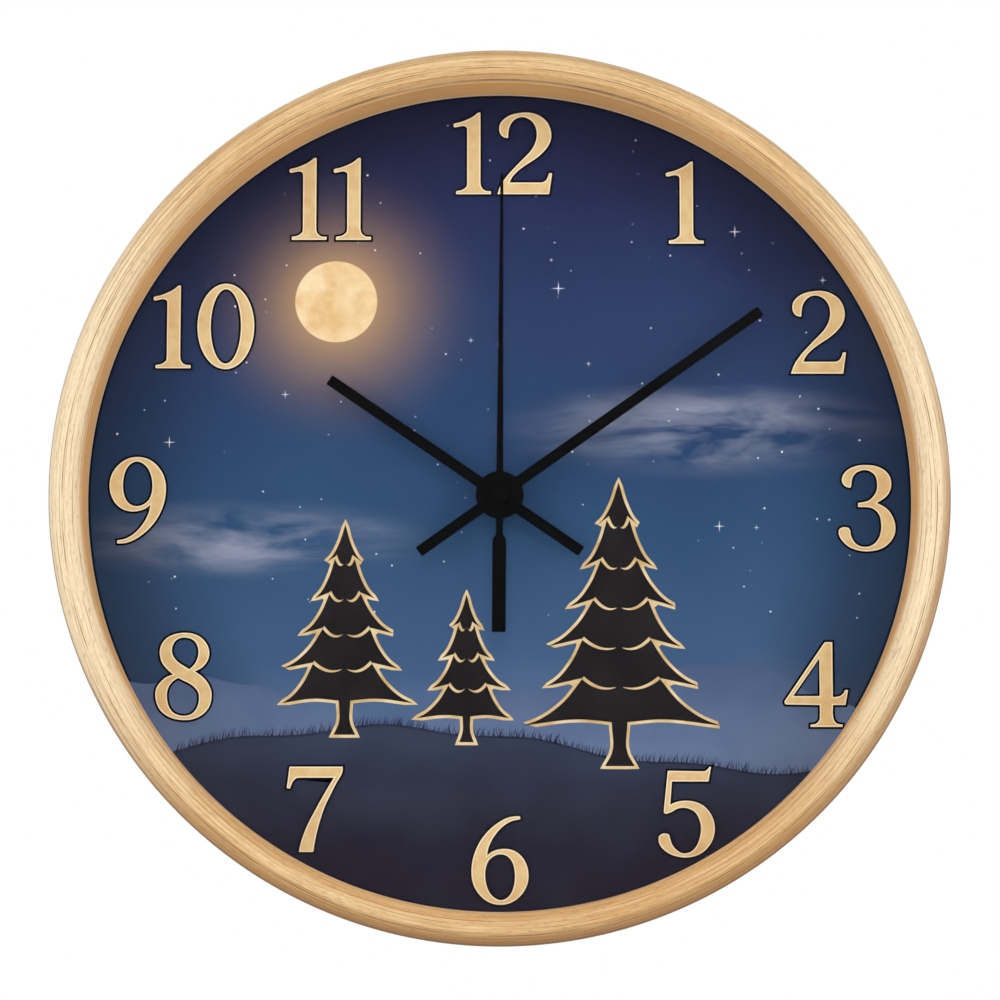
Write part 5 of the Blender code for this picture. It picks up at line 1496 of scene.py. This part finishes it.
def bar_hand(name, reach, tail, width, hub, hole, depth, turn, easing, collet):
    """Pressed hand: a bar of one width through a round hub, with eased edges and a collet behind."""
    back, front = depth
    half = width / 2
    meet = asin(half / hub)
    points = [(half, reach), (-half, reach), *hub_arc(hub, pi / 2 + meet, 3 * pi / 2 - meet, 40)]
    points += [(-half, -tail), (half, -tail), *hub_arc(hub, -pi / 2 + meet, pi / 2 - meet, 40)]
    blade = flat_mesh(name, [points, circle(hole, 64)], back, front, SHAFT, -turn)
    blade = eased(blade, easing)
    middle = (back + front) / 2
    wall = hole + 0.0009
    ring = [(wall, middle), (wall, collet), (hole, collet), (hole, middle)]
    return joined(name, [blade, turned(name, ring, 64, SHAFT)])


def needle_hand(name, hands, depth, collet, top):
    """Tapered needle with a shouldered counterweight and a round crowned cap."""
    back, front = depth
    tail = hands.second_tail
    # Radius of the boss, half widths of the needle and the counterweight, and where its shoulder lies.
    boss = 0.0029
    root, tip, weight = 0.0010, 0.000425, 0.00195
    shoulder, full = 0.0116, 0.0128
    meet = asin(root / boss)
    points = [(tip, hands.second_length), (-tip, hands.second_length)]
    points += hub_arc(boss, pi / 2 + meet, 3 * pi / 2 - meet, 24)
    points += [(-root, -shoulder), (-weight, -full), (-weight, -tail)]
    points += [(weight, -tail), (weight, -full), (root, -shoulder)]
    points += hub_arc(boss, -pi / 2 + meet, pi / 2 - meet, 24)
    blade = eased(flat_mesh(name, [points], back, front, SHAFT, -hands.second_angle), hands.easing)
    cap, crown_rise, bore = 0.0026, 0.0004, 0.00075
    angles = [pi / 2 * i / 10 for i in range(11)]
    crown = [(cap * sin(a), top - crown_rise * (1 - cos(a))) for a in angles]
    socket = [(cap, collet), (bore, collet), (bore, front), (0, front)]
    return joined(name, [blade, turned(name, crown + socket, 64, SHAFT)])


class CLOCK_OT_hands(bpy.types.Operator):
    """Press and paint the hour, minute and seconds hands"""

    bl_idname = "clock.hands"
    bl_label = "Hands"

    def execute(self, context):
        hands = context.scene.clock.hands
        paint = satin_paint(hands)
        # The hour hand's hub is the smaller one; the holes fit the hour tube and the minute tube.
        full_hub = hands.hub_radius
        for node, body, reach, hub, hole, turn in (
            ("hour_hand", "hours", hands.hour_length, full_hub - hands.hub_rim, 0.00265, hands.hour_angle),
            ("minute_hand", "minutes", hands.minute_length, full_hub, 0.00175, hands.minute_angle),
        ):
            low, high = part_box(node)
            depth = (-low.y - hands.thickness, -low.y)
            name = "painted_" + node
            mesh = bar_hand(
                name, reach, hands.tail, hands.width, hub, hole, depth, turn, hands.easing, -high.y
            )
            make_piece(name, mesh, body, "black_hands", paint, node)
        # The needle lies 1.4 mm behind the top of its cap.
        low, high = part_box("second_hand")
        back = -low.y - 0.0014
        mesh = needle_hand("painted_second_hand", hands, (back, back + hands.thickness), -high.y, -low.y)
        make_piece("painted_second_hand", mesh, "seconds", "black_hands", paint, "second_hand")
        return {"FINISHED"}


def screw_tree(material):
    """Pan-head screws with a cross recess, one at each point, aimed away from the middle of the dial."""
    tree, entry = new_tree(
        "clip_screws",
        Shank="NodeSocketFloat",
        Head="NodeSocketFloat",
        Rise="NodeSocketFloat",
        Reach="NodeSocketFloat",
        Middle="NodeSocketVector",
    )
    sizes = entry.outputs
    half_rise = add(tree, "ShaderNodeMath", {0: sizes["Rise"], 1: 0.5}, operation="MULTIPLY")
    quarter = add(tree, "ShaderNodeMath", {0: sizes["Rise"], 1: -0.25}, operation="MULTIPLY")
    full_down = add(tree, "ShaderNodeMath", {0: sizes["Rise"], 1: -1.0}, operation="MULTIPLY")
    crown = add(tree, "ShaderNodeMath", {0: sizes["Head"], 1: 0.68}, operation="MULTIPLY")
    rim = add(
        tree,
        "GeometryNodeMeshCylinder",
        {"Vertices": 36, "Radius": sizes["Head"], "Depth": half_rise},
    )
    rim_at = add(tree, "ShaderNodeCombineXYZ", {"Z": quarter})
    rim = add(tree, "GeometryNodeTransform", {"Geometry": rim, "Translation": rim_at})
    dome = add(
        tree,
        "GeometryNodeMeshCone",
        {"Vertices": 36, "Radius Top": sizes["Head"], "Radius Bottom": crown, "Depth": half_rise},
    )
    dome_at = add(tree, "ShaderNodeCombineXYZ", {"Z": full_down})
    dome = add(tree, "GeometryNodeTransform", {"Geometry": dome, "Translation": dome_at})
    slot_long = add(tree, "ShaderNodeMath", {0: sizes["Head"], 1: 1.15}, operation="MULTIPLY")
    slot_wide = add(tree, "ShaderNodeMath", {0: sizes["Head"], 1: 0.26}, operation="MULTIPLY")
    slot_deep = add(tree, "ShaderNodeMath", {0: sizes["Rise"], 1: 1.1}, operation="MULTIPLY")
    bars = []
    for first, second in ((slot_long, slot_wide), (slot_wide, slot_long)):
        bar_size = add(tree, "ShaderNodeCombineXYZ", {"X": first, "Y": second, "Z": slot_deep})
        bar = add(tree, "GeometryNodeMeshCube", {"Size": bar_size})
        bars.append(add(tree, "GeometryNodeTransform", {"Geometry": bar, "Translation": dome_at}))
    head = add(tree, "GeometryNodeMeshBoolean", {"Mesh 2": [rim, dome]}, operation="UNION")
    cross = add(tree, "GeometryNodeMeshBoolean", {"Mesh 2": bars}, operation="UNION")
    head = add(tree, "GeometryNodeMeshBoolean", {"Mesh 1": head, "Mesh 2": cross}, operation="DIFFERENCE")
    shank = add(
        tree, "GeometryNodeMeshCylinder", {"Vertices": 24, "Radius": sizes["Shank"], "Depth": sizes["Reach"]}
    )
    half_reach = add(tree, "ShaderNodeMath", {0: sizes["Reach"], 1: 0.5}, operation="MULTIPLY")
    shank_at = add(tree, "ShaderNodeCombineXYZ", {"Z": half_reach})
    shank = add(tree, "GeometryNodeTransform", {"Geometry": shank, "Translation": shank_at})
    point = add(
        tree,
        "GeometryNodeMeshCone",
        {"Vertices": 24, "Radius Top": 0.0001, "Radius Bottom": sizes["Shank"], "Depth": sizes["Shank"]},
    )
    point_at = add(tree, "ShaderNodeCombineXYZ", {"Z": sizes["Reach"]})
    point = add(tree, "GeometryNodeTransform", {"Geometry": point, "Translation": point_at})
    screw = add(tree, "GeometryNodeJoinGeometry", {"Geometry": [head, shank, point]})
    away = add(
        tree,
        "ShaderNodeVectorMath",
        {0: add(tree, "GeometryNodeInputPosition"), 1: sizes["Middle"]},
        operation="SUBTRACT",
    )
    aim = add(tree, "FunctionNodeAlignRotationToVector", {"Vector": away}, axis="Z")
    points = add(tree, "GeometryNodeMeshToPoints", {"Mesh": sizes["Geometry"]})
    screws = add(
        tree, "GeometryNodeInstanceOnPoints", {"Points": points, "Instance": screw, "Rotation": aim}
    )
    close_tree(tree, screws, material)
    return tree


# From the seat of a clip screw's head to its outermost edge, in metres.
SCREW_LENGTH = 0.00699


class CLOCK_OT_fixings(bpy.types.Operator):
    """Make the dial clips, their screws, the hanger, gasket, washer, nut and bushing"""

    bl_idname = "clock.fixings"
    bl_label = "Fixings"

    def execute(self, context):
        fittings = context.scene.clock.fittings
        zinc = plain_finish("bright_zinc_plate", fittings.zinc, linear("9BA0A8"), 0.0012, 0.32, 1.0)
        steel = plain_finish(
            "rolled_zinc_steel", fittings.zinc, linear("A0A4AA"), 0.0016, 0.36, 1.0, stretch=(1, 1, 0.12)
        )
        for number in range(1, 5):
            node = f"dial_clip_{number}"
            make_piece(f"bent_clip_{number}", node_copy(node, 0.00012), "housing", "zinc_steel", steel, node)
        screws = [f"clip_screw_{number}" for number in range(1, 5)]
        corners = []
        for name in screws:
            low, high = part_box(name)
            side = 1 if low.x > 0 else -1
            rise = 1 if low.z > MIDDLE else -1
            outermost = high.x if side > 0 else -low.x
            tip = outermost * sqrt(2)
            seat = tip - SCREW_LENGTH
            spot = seat / sqrt(2)
            corners.append((side * spot, (low.y + high.y) / 2, MIDDLE + rise * spot))
        out = corners[0][1]
        spots = bpy.data.meshes.new("screw_spots")
        spots.from_pydata(corners, [], [])
        mesh = from_tree(
            "pan_head_screws",
            spots,
            screw_tree(zinc),
            Shank=fittings.screw_radius,
            Head=fittings.screw_head,
            Rise=fittings.screw_rise,
            Reach=tip - seat - fittings.screw_radius,
            Middle=(0, out, MIDDLE),
        )
        make_piece("pan_head_screws", finish_mesh(mesh, 30), "housing", "zinc_steel", zinc, *screws)
        strap = node_copy("hanger_plate", 0.0002)
        make_piece("hanger_strap", strap, "housing", "zinc_steel", steel, "hanger_plate")
        brass = turned_brass(fittings)
        make_piece("chamfered_nut", node_copy("hex_nut", 0.0003), "housing", "brass", brass, "hex_nut")
        dress(brass, "bushing")
        # The washer is blackened and hides behind the hubs of the hands.
        black = plain_finish("blackened_brass", linear("161514"), linear("211F1D"), 0.0008, 0.6)
        low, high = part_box("dial_washer")
        ring = [
            (fittings.washer_hole, -high.y),
            (fittings.washer_radius, -high.y),
            (fittings.washer_radius, -low.y - fittings.washer_edge),
            (fittings.washer_radius - fittings.washer_edge, -low.y),
            (fittings.washer_hole, -low.y),
        ]
        washer = turned("black_washer", ring, 96, SHAFT)
        make_piece("black_washer", washer, "housing", "brass", black, "dial_washer")
        rubber = plain_finish(
            "moulded_rubber", fittings.rubber, linear("2A2A2B"), 0.0006, 0.8, relief=0.00005
        )
        dress(rubber, "gasket")
        return {"FINISHED"}


class CLOCK_OT_case(bpy.types.Operator):
    """Mould the movement's case, cover and knob and fit the battery and its contacts"""

    bl_idname = "clock.case"
    bl_label = "Case and battery"

    def execute(self, context):
        fittings = context.scene.clock.fittings
        # Spark-eroded mould texture of about 0.5 mm.
        plastic = plain_finish(
            "textured_black_abs", fittings.abs_black, linear("2B2B2E"), 0.0005, 0.5, relief=0.00006
        )
        for node, name, body in (
            ("case_front", "moulded_case", "housing"),
            ("case_back", "moulded_cover", "housing"),
            ("setting_knob", "moulded_knob", "knob"),
        ):
            make_piece(name, node_copy(node, fittings.easing), body, "case_plastic", plastic, node)
        film = battery_film(fittings)
        make_piece("wrapped_cell", node_copy("battery"), "housing", "battery_jacket", film, "battery")
        strip = plain_finish("spring_steel_strip", fittings.zinc, linear("8F949B"), 0.0009, 0.3, 1.0)
        dress(strip, "contact_positive", "contact_negative")
        return {"FINISHED"}


class CLOCK_OT_train(bpy.types.Operator):
    """Finish the wheels, the bridge, the motor and the circuit board"""

    bl_idname = "clock.train"
    bl_label = "Train and motor"

    def execute(self, context):
        fittings = context.scene.clock.fittings
        acetal = plain_finish(
            "moulded_acetal", fittings.acetal, linear("D6D2C4"), 0.0008, 0.38, relief=0.00002
        )
        dress(
            acetal,
            "rotor",
            "step_wheel",
            "third_wheel",
            "seconds_wheel",
            "centre_wheel",
            "motion_wheel",
            "hour_wheel",
            "train_bridge",
        )
        iron = plain_finish("stamped_silicon_iron", fittings.iron, linear("75777B"), 0.0007, 0.42, 1.0)
        dress(iron, "stator", "coil_core")
        dress(wound_copper(fittings), "coil")
        mask = plain_finish("green_solder_mask", fittings.board, linear("255A34"), 0.0009, 0.35)
        dress(mask, "circuit_board")
        return {"FINISHED"}


def area_light(name, place, target, size, power):
    """Soft square light aimed at a point."""
    lamp = bpy.data.lights.new(name, "AREA")
    lamp.size = size
    lamp.energy = power
    holder = bpy.data.objects.new(name, lamp)
    holder.location = place
    holder.rotation_euler = (target - Vector(place)).to_track_quat("-Z", "Y").to_euler()
    bpy.context.scene.collection.objects.link(holder)
    return holder


# The widest ring of the frame, out from its back, in metres.
WIDEST_RING = 0.0365


class CLOCK_OT_stage(bpy.types.Operator):
    """Set the pale floor, the white room, the soft lights and the camera"""

    bl_idname = "clock.stage"
    bl_label = "Stage"

    def execute(self, context):
        scene = context.scene
        stage = scene.clock.stage
        level = FRAME_LOW.z - stage.floor_drop
        reach = stage.floor_reach
        mesh = bpy.data.meshes.new("pale_floor")
        corners = ((-reach, -reach), (reach, -reach), (reach, reach), (-reach, reach))
        mesh.from_pydata([(x, y, level) for x, y in corners], [], [(0, 1, 2, 3)])
        floor = bpy.data.objects.new("pale_floor", mesh)
        scene.collection.objects.link(floor)
        floor_paint = plain_finish("matt_floor_paint", stage.floor, linear("E6E3DE"), 0.02, 0.8)
        mesh.materials.append(floor_paint)
        room = bpy.data.worlds.new("white_room")
        room.use_nodes = True
        tree = room.node_tree
        tree.nodes.clear()
        path = add(tree, "ShaderNodeLightPath")
        seen = add(
            tree,
            "ShaderNodeMath",
            {0: path.outputs["Is Camera Ray"], 1: path.outputs["Is Glossy Ray"]},
            operation="MAXIMUM",
        )
        seen = add(
            tree, "ShaderNodeMath", {0: seen, 1: path.outputs["Is Transmission Ray"]}, operation="MAXIMUM"
        )
        strength = add(tree, "ShaderNodeMapRange", {0: seen, 3: stage.sky, 4: 1.0})
        back = add(tree, "ShaderNodeBackground", {"Color": (1, 1, 1, 1), "Strength": strength})
        add(tree, "ShaderNodeOutputWorld", {"Surface": back})
        scene.world = room
        # The lights and the camera aim at the middle of the widest ring. Each light has its place, as x, y
        # and height above the middle of the dial, then the side of its square and its power.
        target = Vector((0, -WIDEST_RING, MIDDLE))
        for name, x, y, up, size, power in (
            ("left_softbox", -1.15, -0.75, 0.25, 0.8, stage.side_power),
            ("right_softbox", 1.15, -0.75, 0.25, 0.8, stage.side_power),
            ("front_softbox", 0.0, -1.55, 0.75, 1.0, stage.front_power),
            ("low_softbox", 0.0, -1.1, -0.28, 0.5, stage.low_power),
            ("back_softbox", 0.0, 1.5, 0.5, 1.0, stage.back_power),
        ):
            area_light(name, (x, y, MIDDLE + up), target, size, power)
        # That ring stands a little above the middle of the picture.
        aim = target + Vector((0.0001, 0, -0.0021))
        lens = bpy.data.cameras.new("camera")
        lens.sensor_width = 36
        lens.lens = lens.sensor_width * stage.distance / stage.field
        camera = bpy.data.objects.new("camera", lens)
        scene.collection.objects.link(camera)
        camera.location = aim + stage.distance * Vector((0, -cos(stage.rise), sin(stage.rise)))
        camera.rotation_euler = (aim - camera.location).to_track_quat("-Z", "Y").to_euler()
        scene.camera = camera
        scene.view_settings.view_transform = "Standard"
        return {"FINISHED"}


STEPS = (
    CLOCK_OT_frame,
    CLOCK_OT_lens,
    CLOCK_OT_dial,
    CLOCK_OT_landscape,
    CLOCK_OT_stars,
    CLOCK_OT_numerals,
    CLOCK_OT_hands,
    CLOCK_OT_fixings,
    CLOCK_OT_case,
    CLOCK_OT_train,
    CLOCK_OT_stage,
)


class CLOCK_PT_pieces(bpy.types.Panel):
    """Buttons and settings of the clock"""

    bl_idname = "CLOCK_PT_pieces"
    bl_label = "Wooden wall clock"
    bl_space_type = "VIEW_3D"
    bl_region_type = "UI"
    bl_category = "Clock"

    def draw(self, context):
        column = self.layout.column(align=True)
        for step in STEPS:
            column.operator(step.bl_idname)
        clock = context.scene.clock
        for group in (clock.wood, clock.dial, clock.hands, clock.fittings, clock.stage):
            box = self.layout.box()
            for name in group.__annotations__:
                box.prop(group, name)


CLASSES = (
    WoodSettings,
    DialSettings,
    HandSettings,
    FittingSettings,
    StageSettings,
    ClockSettings,
    *STEPS,
    CLOCK_PT_pieces,
)


def register():
    """Register the settings, operators and panel."""
    for item in CLASSES:
        bpy.utils.register_class(item)
    bpy.types.Scene.clock = PointerProperty(type=ClockSettings)


def unregister():
    """Remove the settings, operators and panel."""
    del bpy.types.Scene.clock
    for item in reversed(CLASSES):
        bpy.utils.unregister_class(item)


def main():
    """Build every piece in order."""
    register()
    for step in STEPS:
        getattr(bpy.ops.clock, step.bl_idname.split(".")[1])()
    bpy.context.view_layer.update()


if __name__ == "__main__":
    main()
